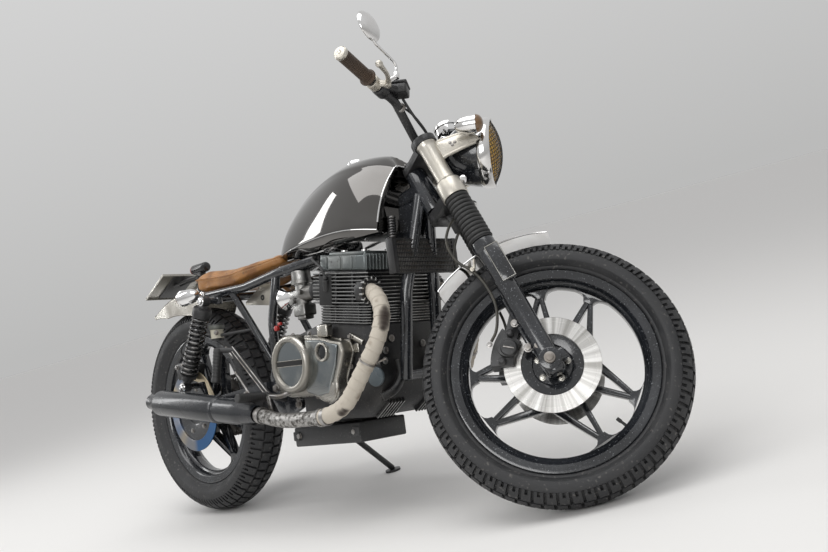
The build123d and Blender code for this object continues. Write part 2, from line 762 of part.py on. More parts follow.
# Front calipers behind the legs, each with a slot for its disc
slot_in = FRONT_HUB_HALF + CARRIER_T - BRAKE_GAP
slot_out = FRONT_HUB_HALF + CARRIER_T + DISC_T + BRAKE_GAP
caliper = arc_strip(CARRIER_R + 7, 138, 142, 182, -(slot_out + 20), -(slot_in - 18))
caliper = caliper - arc_strip(CARRIER_R, FRONT_DISC_R + 7, 130, 200, -slot_out, -slot_in)
piston = polar(104, 160)
caliper = caliper + cross_rod(*piston, 22, -slot_out, -slot_out - 34)
caliper_ear = [polar(126, 146), polar(150, 128), polar(118, 122), polar(96, 142)]
caliper = caliper + slab(caliper_ear, -(slot_out + 14), -(slot_out + 1))
caliper = Pos(*FRONT_AXLE) * caliper - leg
keep("front_calipers", both_sides(caliper), STEERED)

# Brake hoses from each caliper up to the brace between the legs
hose_x, hose_z = polar(130, 166)
hose_foot = FRONT_AXLE + Vector(hose_x, -(slot_out + 10), hose_z)
hose_top = at_fork(fork_offset - 34, -34, LOWER_CLAMP_FROM - 24)
hose_points = [
    tuple(hose_foot),
    tuple(hose_foot + Vector(-30, 0, 30)),
    tuple(hose_foot + Vector(-42, 6, 90)),
    tuple(at_fork(fork_offset - 50, -60, SLIDER_TOP - 6)),
    tuple(at_fork(fork_offset - 44, -46, SLIDER_TOP + 60)),
    tuple(hose_top),
]
hose = tube(hose_points, (16, 26, 40, 40), 4)
hose = hose - caliper
junction = FORK * (Pos(fork_offset - 34, 0, LOWER_CLAMP_FROM - 12) * Box(18, 76, 23.9))
hoses = both_sides(hose) + junction
keep("brake_hoses", hoses, STEERED)

# Front axle with its spacers and nuts
front_spacer_from = FRONT_HUB_HALF + CARRIER_T + HUB_END_CLEAR
front_axle = axle_rod(AXLE_R, -boss_to - 12, boss_to + 12)
for side in (-1, 1):
    front_axle = front_axle + axle_rod(15, side * front_spacer_from, side * boss_from)
    front_axle = front_axle + axle_rod(13, side * boss_to, side * (boss_to + 9))
keep("front_axle", front_axle, STEERED)


# Frame

head_tube_from = LOWER_CLAMP_TO - 8 + HEAD_TUBE_GAP
head_tube_to = TOP_CLAMP_FROM - HEAD_TUBE_GAP
head_tube = fork_bar(0, head_tube_from, head_tube_to, HEAD_TUBE_R)
backbone_front = STEER_FOOT + AXIS_UP * 590
backbone_rear = Vector(590, 0, 712)
frame = head_tube + rod(backbone_front, backbone_rear, BACKBONE_R)
downtube_top = STEER_FOOT + AXIS_UP * 575
mount_y = 62
PIVOT_PLATE = [
    (464, 330),
    (464, 400),
    (484, 450),
    (524, 486),
    (590, 486),
    (590, 466),
    (556, 440),
    (556, 330),
    (600, 322),
    (600, 300),
    (528, 272),
    (500, 272),
]
for side in (-1, 1):
    route = [
        (downtube_top.X - 12, side * 14, downtube_top.Z),
        (1020, side * 52, 560),
        (990, side * mount_y, 340),
    ]
    frame = frame + tube(route, 120, DOWNTUBE_R)
    frame = frame + rod((backbone_rear.X + 4, 0, backbone_rear.Z + 1), (572, side * (RAIL_Y - 6), 692), 16)
    post = [
        (556, side * (RAIL_Y - 2), 689),
        (510, side * PLATE_Y, 560),
        (PIVOT_X + 4, side * PLATE_Y, PIVOT_Z + 60),
    ]
    frame = frame + tube(post, 80, 13)
    frame = frame + slab(PIVOT_PLATE, side * (PLATE_Y - 10), side * (PLATE_Y - 4))
    gusset = [(1094, 770), (1058, 790), (940, 778), (1020, 640), (1042, 640)]
    frame = frame + slab(gusset, side * 22, side * 26)
frame = frame + cross_rod(990, 350, 13, -mount_y, mount_y)
for bolt in ((582, 476), (590, 311)):
    frame = frame + cross_rod(*bolt, 7, -PLATE_Y, PLATE_Y)
frame = frame - fork_bar(0, head_tube_from - 1, head_tube_to + 1, STEM_R + STEM_CLEAR)
frame = frame - cross_rod(PIVOT_X, PIVOT_Z, PIVOT_R, -PLATE_Y - 20, PLATE_Y + 20)

# Engine: crankcase with its sump, then covers, cylinders and head cover
deck_front = at_cylinders(100, 0, 0)
deck_rear = at_cylinders(-97, 0, 0)
case_outline = [
    (572, 352),
    (604, 300),
    (706, 262),
    (898, 256),
    (948, 290),
    (966, 350),
    (962, 430),
    (deck_front.X, deck_front.Z),
    (deck_rear.X, deck_rear.Z),
    (706, 512),
    (640, 500),
    (572, 470),
]
crankcase = slab(case_outline, -CASE_HALF_W, CASE_HALF_W)
crankcase = crankcase - block((400, 640), (-200, -64), (200, 600)) - block((400, 640), (64, 200), (200, 600))


def chain_loop(out, side_grow):
    """The outline round both sprockets, as one slab, out from where the chain runs."""
    rear_r = REAR_SPROCKET_R + SPROCKET_GAP + out
    front_r = FRONT_SPROCKET_R + SPROCKET_GAP + out
    rise = FRONT_SPROCKET[1] - REAR_AXLE.Z
    span = sqrt(FRONT_SPROCKET[0] ** 2 + rise**2)
    heading = asin(rise / span)
    lean_in = asin((rear_r - front_r) / span)
    ways = (heading + pi / 2 - lean_in, heading - pi / 2 + lean_in)
    upper, lower = [(cos(a), sin(a)) for a in ways]
    near = CHAIN_Y - CHAIN_HALF_W - side_grow
    far = CHAIN_Y + CHAIN_HALF_W + side_grow
    quad = [
        (rear_r * upper[0], REAR_AXLE.Z + rear_r * upper[1]),
        (FRONT_SPROCKET[0] + front_r * upper[0], FRONT_SPROCKET[1] + front_r * upper[1]),
        (FRONT_SPROCKET[0] + front_r * lower[0], FRONT_SPROCKET[1] + front_r * lower[1]),
        (rear_r * lower[0], REAR_AXLE.Z + rear_r * lower[1]),
    ]
    loop = slab(quad, near, far)
    loop = loop + cross_rod(0, REAR_AXLE.Z, rear_r, near, far)
    return loop + cross_rod(*FRONT_SPROCKET, front_r, near, far)


chain_space = chain_loop(CHAIN_H + CHAIN_CLEAR, CHAIN_CLEAR)
chain_band = chain_space - chain_loop(-CHAIN_CLEAR, CHAIN_CLEAR + 1)
crankcase = crankcase - chain_space
crankcase = crankcase + slab([(640, 520), (640, 500), (706, 512), (706, 530)], -60, 60)
crankcase = crankcase - frame
keep("crankcase", crankcase, PARK)

cover_outline = [
    (572, 400),
    (600, 326),
    (690, 300),
    (800, 306),
    (850, 340),
    (880, 400),
    (874, 470),
    (800, 492),
    (600, 500),
    (572, 480),
]
right_cover = slab(cover_outline, -CASE_HALF_W, -CLUTCH_COVER_Y)
right_cover = right_cover + cross_rod(*CLUTCH_CAP, CLUTCH_CAP_R, -CLUTCH_COVER_Y + 1, -CLUTCH_CAP_Y)
right_cover = right_cover + cross_rod(815, 447, 14, -CLUTCH_COVER_Y + 1, -CLUTCH_COVER_Y - 10)
left_cover = slab(cover_outline, CASE_HALF_W, CLUTCH_COVER_Y - 22)
left_cover = left_cover + cross_rod(800, 400, 74, CLUTCH_COVER_Y - 23, CLUTCH_COVER_Y + 6)
keep("engine_covers", Compound([largest(right_cover), largest(left_cover)]), PARK)

cylinders = CYLINDERS * block((-CORE_LENGTH / 2, CORE_LENGTH / 2), (-CORE_HALF_W, CORE_HALF_W), (0, HEAD_TOP))
FINS = (
    # half length, half width, corner, first level, pitch, count
    (97.5, 131.5, 12, 5, 7.2, 7),
    (112.4, 149.4, 16, 58, 9.6, 9),
)
for fin_x, fin_y, corner, first_level, pitch, fin_count in FINS:
    quarter = [(fin_x, fin_y - corner), (fin_x - corner, fin_y)]
    fin_outline = quarter + [(-x, y) for x, y in reversed(quarter)]
    fin_outline = fin_outline + [(-x, -y) for x, y in fin_outline]
    fin_face = make_face(Polyline(*fin_outline, close=True))
    for number in range(fin_count):
        level = first_level + number * pitch
        cylinders = cylinders + CYLINDERS * (Pos(0, 0, level) * extrude(fin_face, amount=FIN_T))

# Head cover: a box with a lower crown, pads along its sides and upright fins at its ends
head_cover = CYLINDERS * block((-88, 88), (-129, 129), (HEAD_TOP, HEAD_TOP + 40))
head_cover = head_cover + CYLINDERS * block((-73, 73), (-113, 113), (HEAD_TOP + 39, COVER_TOP))
COVER_PADS = (
    # x, width
    (-73, 26),
    (-30, 48),
    (24, 34),
)
for side in (-1, 1):
    for pad_x, pad_w in COVER_PADS:
        near = side * 128
        far = side * 132.5
        pad_y = (min(near, far), max(near, far))
        pad = block((pad_x - pad_w / 2, pad_x + pad_w / 2), pad_y, (HEAD_TOP + 3, HEAD_TOP + 37))
        head_cover = head_cover + CYLINDERS * pad
    for number in range(7):
        rib_y = side * (124 - number * 12)
        rib = block((-92, 92), (rib_y - 1.7, rib_y + 1.7), (HEAD_TOP, HEAD_TOP + 42))
        head_cover = head_cover + CYLINDERS * rib
head_cover = head_cover - frame
keep("head_cover", head_cover, PARK)

# Carburettors behind the head, with their bell mouths
inlet_x = 752
inlet_z = 617
carburettors = cross_rod(CARB_SLIDE_X, inlet_z, 9, -CARB_Y, CARB_Y)
for side in (-1, 1):
    y = side * CARB_Y
    carburettors = carburettors + rod((inlet_x, y, inlet_z), (CARB_BELL_X + 22, y, inlet_z), CARB_R)
    carburettors = carburettors + cone((CARB_BELL_X + 30, y, inlet_z), (CARB_BELL_X, y, inlet_z), 26, 34)
    carburettors = carburettors + rod((CARB_SLIDE_X, y, inlet_z - 40), (CARB_SLIDE_X, y, inlet_z + 44), 22)
    carburettors = carburettors + rod((CARB_SLIDE_X, y, inlet_z + 34), (CARB_SLIDE_X, y, inlet_z + 61), 29)
    bowl_x = (CARB_SLIDE_X - 26, CARB_SLIDE_X + 26)
    carburettors = carburettors + block(bowl_x, (y - 24, y + 24), (inlet_z - 66, inlet_z - 24))
cylinders = cylinders - block((700, inlet_x + 2), (-CARB_Y - 32, CARB_Y + 32), (inlet_z - 32, inlet_z + 32))

# Exhaust: one wrapped header and one muffler on each side
port_level = 88
port_y = 112
port = at_cylinders(CORE_LENGTH / 2, -port_y, port_level)
for side in (-1, 1):
    collar_from = (CORE_LENGTH / 2 - 2, side * port_y, port_level)
    collar_to = (PORT_COLLAR_TO, side * port_y, port_level)
    bore_from = (CORE_LENGTH / 2, side * port_y, port_level)
    bore_to = (PORT_COLLAR_TO + 20, side * port_y, port_level)
    cylinders = cylinders + CYLINDERS * rod(collar_from, collar_to, PORT_COLLAR_R)
    cylinders = cylinders - CYLINDERS * rod(bore_from, bore_to, HEADER_R + 2)
cylinders = cylinders - frame
keep("cylinders", cylinders, PARK)
keep("carburettors", carburettors - cylinders - frame, PARK)
muffler_start = Vector(530, -MUFFLER_Y, 300)
header_points = [
    tuple(port),
    tuple(port + (at_cylinders(62, -2, 0) - at_cylinders(0, 0, 0))),
    (1058, -164, 540),
    (1040, -188, 460),
    (945, -MUFFLER_Y + 4, 318),
    (850, -MUFFLER_Y, 272),
    (640, -MUFFLER_Y, 272),
    tuple(muffler_start),
]
header = tube(header_points, (34, 36, 90, 120, 90, 120), HEADER_R) - cylinders
keep("exhaust_headers", both_sides(header), PARK)
muffler_way = Vector(-0.9905, 0, 0.1375)
mouth = muffler_start
body_from = mouth + muffler_way * MUFFLER_CONE_L
body_to = mouth + muffler_way * MUFFLER_BODY_TO
tip = body_to + muffler_way * MUFFLER_TIP_L
silencer = cone(mouth, body_from, HEADER_R + 2, MUFFLER_R - 6) + rod(body_from, body_to, MUFFLER_R)
silencer = silencer + cone(body_to, body_to + muffler_way * MUFFLER_END_L, MUFFLER_R, MUFFLER_TIP_R + 3)
silencer = silencer + rod(body_to, tip, MUFFLER_TIP_R)
silencer = silencer - rod(tip - muffler_way * 40, tip + muffler_way, MUFFLER_TIP_R - 3)
silencer = silencer - header
keep("mufflers", both_sides(silencer), PARK)

# Seat rails, with the hoop behind, the shock mounts and the struts
rail_points = [
    (716, RAIL_Y - 22, 703),
    (560, RAIL_Y, 690),
    (400, RAIL_Y, 676),
    (150, RAIL_Y, 684),
    (112, 52, 686),
    (112, -52, 686),
    (150, -RAIL_Y, 684),
    (400, -RAIL_Y, 676),
    (560, -RAIL_Y, 690),
    (716, -RAIL_Y + 22, 703),
]
rails = tube(rail_points, (160, 300, 40, 40, 40, 40, 300, 160), RAIL_R)
for side in (-1, 1):
    strut = rod((330, side * RAIL_Y, 676), (PIVOT_X - 14, side * 92, PIVOT_Z + 74), 11)
    rails = rails + strut
    rails = rails + cross_rod(*SHOCK_TOP, 9, side * (RAIL_Y - 4), side * (SHOCK_Y + 18))
    rails = rails + rod((255, side * RAIL_Y, 676), (255, side * RAIL_Y, 648), 12)
    rails = rails + slab([(250, 612), (372, 668), (392, 618)], side * 40, side * 44)
rails = rails + cross_rod(330, 660, 9, -RAIL_Y, RAIL_Y)
rails = rails - frame
keep("rear_subframe", largest(rails), PARK)

# Swing arm on its pivot, with the rear axle in its ends
swing_half = PLATE_Y - 11
swing = cross_rod(PIVOT_X, PIVOT_Z, 20, -swing_half, swing_half)
swing = swing + cross_rod(PIVOT_X, PIVOT_Z, PIVOT_R, -PLATE_Y - 6, PLATE_Y + 6)
arm_outline = [
    (-34, REAR_AXLE.Z - 18),
    (-34, REAR_AXLE.Z + 18),
    (60, REAR_AXLE.Z + SWINGARM_H / 2),
    (PIVOT_X - 42, PIVOT_Z + SWINGARM_H / 2),
    (PIVOT_X - 42, PIVOT_Z - SWINGARM_H / 2),
    (60, REAR_AXLE.Z - SWINGARM_H / 2),
]
for side in (-1, 1):
    arm_in = SWINGARM_Y - SWINGARM_T / 2
    swing = swing + slab(arm_outline, side * arm_in, side * (arm_in + SWINGARM_T))
    yoke = [
        (PIVOT_X - 76, PIVOT_Z - 20),
        (PIVOT_X - 76, PIVOT_Z + 14),
        (PIVOT_X, PIVOT_Z + 20),
        (PIVOT_X, PIVOT_Z - 20),
    ]
    swing = swing + slab(yoke, side * (swing_half - 26), side * swing_half)
    swing = swing + cross_rod(*SHOCK_FOOT, 9, side * (SWINGARM_Y), side * (SHOCK_Y + 18))
    shock_lug = [
        (SHOCK_FOOT[0] - 26, 345),
        (SHOCK_FOOT[0] - 14, SHOCK_FOOT[1] + 10),
        (SHOCK_FOOT[0] + 14, SHOCK_FOOT[1] + 10),
        (SHOCK_FOOT[0] + 40, 345),
    ]
    swing = swing + slab(shock_lug, side * (SWINGARM_Y - 4), side * (SWINGARM_Y + 6))
swing = swing + slab([(400, 340), (400, 372), (440, 376), (440, 344)], -SWINGARM_Y, SWINGARM_Y)
swing = swing - cross_rod(0, REAR_AXLE.Z, AXLE_R, -150, 150)
swing = swing - chain_band
keep("swingarm", largest(swing), PARK)
rear_axle = cross_rod(0, REAR_AXLE.Z, AXLE_R, -SWINGARM_Y - 26, SWINGARM_Y + 26)
right_spacer = rear_disc_y + HUB_END_CLEAR
left_spacer = CHAIN_Y + SPROCKET_T / 2 + HUB_END_CLEAR
for near, far in ((-right_spacer, -(SWINGARM_Y - 10)), (left_spacer, SWINGARM_Y - 10)):
    rear_axle = rear_axle + cross_rod(0, REAR_AXLE.Z, 15, near, far)
for side in (-1, 1):
    rear_axle = rear_axle + cross_rod(0, REAR_AXLE.Z, 15, side * (SWINGARM_Y + 10), side * (SWINGARM_Y + 20))
keep("rear_axle", rear_axle, PARK)

# Chain: one band round both sprockets, waisted between its pins


def chain_path():
    """Points along the chain's pitch line, half a link apart, with their outward ways and bends."""
    rear_r = REAR_SPROCKET_R + SPROCKET_GAP + CHAIN_H / 2
    front_r = FRONT_SPROCKET_R + SPROCKET_GAP + CHAIN_H / 2
    rise = FRONT_SPROCKET[1] - REAR_AXLE.Z
    span = sqrt(FRONT_SPROCKET[0] ** 2 + rise**2)
    heading = asin(rise / span)
    lean_in = asin((rear_r - front_r) / span)
    run = span * cos(lean_in)
    rear_turn = pi + 2 * lean_in
    front_turn = pi - 2 * lean_in
    start_way = heading + pi / 2 - lean_in
    end_way = heading - pi / 2 + lean_in
    lengths = (run, front_r * front_turn, run, rear_r * rear_turn)
    half_links = 2 * round(sum(lengths) / CHAIN_PITCH)
    points = []
    for number in range(half_links):
        along = sum(lengths) * number / half_links
        if along < lengths[0]:
            way, middle, radius, slide, bent = start_way, (0, REAR_AXLE.Z), rear_r, along, False
        elif along < sum(lengths[:2]):
            way = start_way - (along - lengths[0]) / front_r
            middle, radius, slide, bent = FRONT_SPROCKET, front_r, 0, True
        elif along < sum(lengths[:3]):
            way, middle, radius, slide, bent = end_way, FRONT_SPROCKET, front_r, along - sum(lengths[:2]), False
        else:
            way = end_way - (along - sum(lengths[:3])) / rear_r
            middle, radius, slide, bent = (0, REAR_AXLE.Z), rear_r, 0, True
        ahead_x, ahead_z = sin(way), -cos(way)
        x = middle[0] + radius * cos(way) + slide * ahead_x
        z = middle[1] + radius * sin(way) + slide * ahead_z
        points.append((x, z, cos(way), sin(way), bent))
    return points


pin_line = chain_path()
chain_outer = []
chain_inner = []
for number, (x, z, out_x, out_z, bent) in enumerate(pin_line):
    reach = CHAIN_H / 2 - (CHAIN_WAIST if number % 2 else 0)
    chain_outer.append((x + out_x * reach, z + out_z * reach))
    beside_bend = pin_line[number - 1][4] or pin_line[(number + 1) % len(pin_line)][4]
    if number % 2 == 0 if bent else beside_bend:
        chain_inner.append((x - out_x * CHAIN_H / 2, z - out_z * CHAIN_H / 2))
chain_near = CHAIN_Y - CHAIN_HALF_W
chain_far = CHAIN_Y + CHAIN_HALF_W
chain = slab(chain_outer, chain_near, chain_far) - slab(chain_inner, chain_near - 1, chain_far + 1)
front_teeth = Plane.XZ * RegularPolygon(FRONT_SPROCKET_R, 16)
front_hub = Plane.XZ * RegularPolygon(14, 8)
front_at = Pos(FRONT_SPROCKET[0], 0, FRONT_SPROCKET[1])
front_sprocket = front_at * (Pos(0, CHAIN_Y + 3, 0) * extrude(front_teeth, amount=6))
front_sprocket = front_sprocket + front_at * (Pos(0, CHAIN_Y, 0) * extrude(front_hub, amount=CHAIN_Y - 64))
keep("drive_chain", Compound([largest(chain), front_sprocket.solid()]), PARK)

# Shock absorbers
shock_way = Vector(SHOCK_TOP[0] - SHOCK_FOOT[0], 0, SHOCK_TOP[1] - SHOCK_FOOT[1])
shock_way = shock_way.normalized()
foot = Vector(SHOCK_FOOT[0], -SHOCK_Y, SHOCK_FOOT[1])
head = Vector(SHOCK_TOP[0], -SHOCK_Y, SHOCK_TOP[1])
shock = rod(foot, head, 9)
shock = shock + cross_rod(*SHOCK_FOOT, 15, -SHOCK_Y - 13, -SHOCK_Y + 13)
shock = shock + cross_rod(*SHOCK_TOP, 15, -SHOCK_Y - 13, -SHOCK_Y + 13)
shock = shock + rod(foot + shock_way * 22, foot + shock_way * 140, 19)
spring_from = foot + shock_way * 44
spring_to = head - shock_way * 52
spring_h = (spring_to - spring_from).length
spring_outline = [(0, 0)] + ribs(SPRING_TURNS, spring_h, SPRING_CORE_R, SPRING_R) + [(0, spring_h)]
shock = shock + turned(spring_outline, spring_from, spring_to)
shock = shock + rod(spring_to, spring_to + shock_way * 30, SPRING_R + 1)
shock = shock - cross_rod(*SHOCK_FOOT, 9, -200, -100) - cross_rod(*SHOCK_TOP, 9, -200, -100)
keep("shock_absorbers", both_sides(shock), PARK)


# Tank: sections from rear to front, each with a narrow floor, a ridge low on its sides and an arch
TANK_SECTIONS = (
    # x, floor half width, floor, ridge half width, ridge, top, fullness, lean forward
    (512, 36, 729, 46, 738, 772, 1.0, 0),
    (575, 58, 725, 78, 745, 846, 0.95, 0),
    (650, 76, 722, 99, 749, 892, 0.9, 0),
    (740, 94, 720, 117, 751, 927, 0.85, 0),
    (830, 108, 720, 130, 750, 946, 0.85, 2),
    (900, 114, 719, 133, 746, 947, 0.95, 8),
    (955, 112, 719, 126, 738, 937, 1.2, 18),
    (1000, 101, 722, 108, 729, 914, 1.55, 28),
)


def tank_section(x, floor_half, floor, ridge_half, ridge, top, fullness, lean):
    """One closed section: a flat floor, a ridge on each side and an arch in three arcs."""

    def on_arch(angle, side=1):
        out = side * cos(radians(angle)) ** fullness * ridge_half
        rise = sin(radians(angle))
        return (x + lean * rise, out, ridge + (top - ridge) * rise)

    foot = x - lean * (ridge - floor) / (top - ridge)
    edges = [
        Line((foot, -floor_half, floor), (foot, floor_half, floor)),
        Line((foot, floor_half, floor), on_arch(0)),
        ThreePointArc(on_arch(0), on_arch(22.5), on_arch(45)),
        ThreePointArc(on_arch(45), (x + lean, 0, top), on_arch(45, -1)),
        ThreePointArc(on_arch(45, -1), on_arch(22.5, -1), on_arch(0, -1)),
        Line(on_arch(0, -1), (foot, -floor_half, floor)),
    ]
    return make_face(edges)


tank = loft([tank_section(*row) for row in TANK_SECTIONS], ruled=True)
tunnel = block((480, 1060), (-TANK_TUNNEL_HALF, TANK_TUNNEL_HALF), (700, 770))
tunnel_slope = rod(backbone_front, backbone_rear, BACKBONE_R + 6)
tank = tank - tunnel - tunnel_slope
tank = tank + rod((842, 0, 925), (842, 0, 956), 33)
tank = tank - frame - rails - fork_bar(0, LOWER_CLAMP_TO, TOP_CLAMP_TO + 60, CLAMP_BOSS_R + 7)
keep("fuel_tank", largest(tank), PARK)

# Seat: its side outline, narrowed towards the tank and rounded behind in plan
seat_outline = [
    (149, 737),
    (170, 755),
    (194, 760),
    (251, 754),
    (339, 743),
    (393, 743),
    (499, 749),
    (562, 757),
    (552, 722),
    (412, 701),
    (362, 691),
    (301, 691),
    (240, 696),
    (182, 701),
]
seat_half_plan = [(148, 92), (160, 108), (190, SEAT_HALF_W), (400, SEAT_HALF_W), (470, 110), (530, 88), (564, 72)]
seat_plan = seat_half_plan + [(x, -y) for x, y in reversed(seat_half_plan)]
seat = slab(seat_outline, -SEAT_HALF_W, SEAT_HALF_W)
seat = seat & (Pos(0, 0, 680) * extrude(make_face(Polyline(*seat_plan, close=True)), amount=100))
seat = seat - rails - tank - frame
keep("seat", largest(seat), PARK)

# Rear fender: a strip over the tyre and under the seat, with a skirt down each side
fender_in = REAR_TYRE_R + REAR_FENDER_GAP
fender_out = fender_in + FENDER_T
FENDER_ANGLES = (70, 119)
rear_fender = arc_strip(fender_in, fender_out, *FENDER_ANGLES, -REAR_FENDER_HALF_W, REAR_FENDER_HALF_W)
skirt_outline = [polar(fender_out - 1, angle) for angle in range(74, 120, 5)]
skirt_outline = skirt_outline + [(-179, 326), (-100, 318), (72, 301), (88, 330)]
for side in (-1, 1):
    skirt = slab(skirt_outline, side * (REAR_FENDER_HALF_W - FENDER_T), side * REAR_FENDER_HALF_W)
    rear_fender = rear_fender + skirt
rear_fender = Pos(*REAR_AXLE) * rear_fender
rear_fender = rear_fender - rails - frame
keep("rear_fender", largest(rear_fender), PARK)

# Tail: a lamp on a post behind the seat, and the plate on an arm behind it
post = slab([(4, 700), (4, 800), (26, 800), (26, 700)], -12, 12) - rear_fender
plate_holder = slab([(-86, 797), (-88, 801), (-216, 737), (-214, 733)], -86, 86)
arm = slab([(-150, 762), (-150, 766), (6, 776), (6, 770)], -20, 20)
tail = plate_holder + arm + post
lamp = rod((57, 0, 801), (-24, 0, 801), 17) + cone((-24, 0, 801), (-42, 0, 801), 17, 10)
keep("tail_lamp", largest(lamp - tail), PARK)
keep("plate_holder", largest(tail), PARK)

# Rear indicators
rear_blinker_at = Vector(186, -RAIL_Y - 60, 683)
rear_blinker = cross_rod(190, 684, 7, -RAIL_Y - 10, -RAIL_Y - 44)
rear_blinker = rear_blinker + rod(rear_blinker_at - ahead * 42, rear_blinker_at + ahead * 24, REAR_BLINKER_R)
blinker_back = rear_blinker_at + ahead * 24
rear_blinker = rear_blinker + cone(blinker_back, blinker_back + ahead * 26, REAR_BLINKER_R, 10)
rear_blinker = rear_blinker - rails
keep("rear_indicators", both_sides(rear_blinker), PARK)

# Battery box under the gearbox
battery_box = block((548, 828), (-100, 70), (192, 246)) + block((600, 800), (-60, 60), (245, 262))
battery_box = battery_box - crankcase - frame
keep("battery_box", largest(battery_box), PARK)

# Oil cooler across the downtubes, and the ribbed hose beside it
cooler = block((1040, 1056), (-112, 112), (606, 696))
for side in (-1, 1):
    tank_y = (side * 104, side * 118)
    cooler = cooler + block((1036, 1060), (min(tank_y), max(tank_y)), (606, 696))
for number in range(8):
    level = 612 + number * 11
    cooler = cooler + block((1034, 1062), (-105, 105), (level, level + 2.5))
cooler = cooler - frame
keep("oil_cooler", largest(cooler), PARK)
keep("ribbed_hose", rod((1012, -70, 655), (1020, -70, 760), 12) - frame - tank - cooler, PARK)

# Foot controls: hanger, rider's peg and pedal or shift lever, with the pillion peg folded up
hanger = rod((366, -112, 498), (372, -150, 494), 9) + rod((370, -150, 497), (520, -150, 346), 9)
hanger = hanger + rod((520, -150, 346), (520, -92, 330), 9) + rod((372, -150, 494), (330, -178, 500), 8)
peg_from = Vector(520, -150, 344)
peg_to = Vector(514, -252, 350)
peg_way = (peg_to - peg_from).normalized()
peg_collar_at = peg_from + peg_way * PEG_COLLAR_TO
hanger = hanger + rod(peg_from, peg_to, PEG_R) + rod(peg_collar_at - peg_way * 8, peg_collar_at, PEG_R + 4)
hanger = hanger + tube([(524, -150, 346), (600, -166, 338), (664, -176, 352)], 40, 7)
hanger = hanger + rod((330, -178, 504), (312, -186, 408), 13)
hanger = hanger - frame - rails - right_cover - silencer - header - shock - swing
foot_right = largest(hanger)
left_hanger = mirror(hanger, about=Plane.XZ) - left_cover
foot_left = largest(left_hanger)
keep("foot_controls", Compound([foot_right, foot_left]), PARK)

# Rear brake: caliper above its disc, with its arm to the swing arm
rear_slot_in = rear_disc_y - 3
rear_slot_out = rear_disc_y + DISC_T + BRAKE_GAP
rear_pad_r = REAR_DISC_BORE_R + 8
rear_caliper = arc_strip(rear_pad_r, REAR_DISC_R + 26, 66, 104, -rear_slot_out - 21, -rear_slot_in + 15)
rear_caliper = rear_caliper - arc_strip(90, REAR_DISC_R + 7, 50, 120, -rear_slot_out, -rear_slot_in)
rear_caliper = Pos(*REAR_AXLE) * rear_caliper
stay = slab([(20, 350), (8, 350), (20, 440), (50, 440)], -(SWINGARM_Y + 16), -(SWINGARM_Y + 10.1))
rear_caliper = rear_caliper + stay - shock - swing

# Rear brake reservoir on the right strut
cup = rod((265, -132, 534), (267, -132, 568), 19) + rod((267, -132, 568), (268, -132, 584), 23)
cup = cup + rod((276, -131, 548), (412, -100, 548), 5)
cup = cup - rails - shock - hanger
keep("rear_brake", Compound([largest(rear_caliper), largest(cup)]), PARK)


# Side stand, on a pin that leans outwards so that the leg folds back along the frame

stand_pivot = Vector(*STAND_PIVOT)


def floor_height(x, y):
    """Upright Z of the point above x and y that meets the floor once parked."""
    low = (PARK * Pos(x, y, 0)).position.Z
    high = (PARK * Pos(x, y, 100)).position.Z
    return -low / (high - low) * 100


foot_z = floor_height(*STAND_FOOT)
stand_foot = Vector(STAND_FOOT[0], STAND_FOOT[1], foot_z)
STAND_AXIS = Vector(0, 0.718, 0.696).normalized()
knee = stand_pivot + STAND_AXIS * 16
floor_up = PARK.inverse() * Pos(0, 0, 1)
up_here = floor_up.position - PARK.inverse().position
leg_end = stand_foot + up_here * (STAND_FOOT_T + 4)
stand = rod(knee, leg_end, STAND_LEG_R)
pad = rod(stand_foot, stand_foot + up_here * STAND_FOOT_T, 24)
stand = stand + pad + Pos(*leg_end) * Sphere(STAND_LEG_R - 1.5)
stand = stand + rod(stand_pivot + STAND_AXIS * 4, stand_pivot + STAND_AXIS * 28, 16)
stand = stand - rod(stand_pivot - STAND_AXIS * 40, stand_pivot + STAND_AXIS * 60, STAND_PIN_R + STAND_CLEAR)
keep("side_stand", stand, PARK)

# Its bracket and pin, on the frame side
bracket_pin = rod(stand_pivot - STAND_AXIS * 24, stand_pivot + STAND_AXIS * 32, STAND_PIN_R)
bracket_pin = bracket_pin + rod(stand_pivot + STAND_AXIS * 29, stand_pivot + STAND_AXIS * 36, 11)
bracket_pin = bracket_pin + rod(stand_pivot - STAND_AXIS * 28, stand_pivot + STAND_AXIS * 3, 14)
arm_up = rod(stand_pivot - STAND_AXIS * 24, (520, 90, 296), 8)
bracket_pin = bracket_pin + arm_up
bracket_pin = bracket_pin - battery_box - crankcase
keep("main_frame", largest(frame + bracket_pin), PARK)


# The origin is under the middle of the parked machine, on the floor

everything = Compound([s for shape in nodes.values() for s in shape.solids()])
bounds = everything.bounding_box()
middle = bounds.center()
TO_ORIGIN = Pos(-middle.X, -middle.Y, -bounds.min.Z)

for name, shape in nodes.items():
    export_step(shape.moved(TO_ORIGIN), f"parts/{name}.step")
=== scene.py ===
import json
import math

import bmesh
import bpy
from mathutils import Matrix, Vector


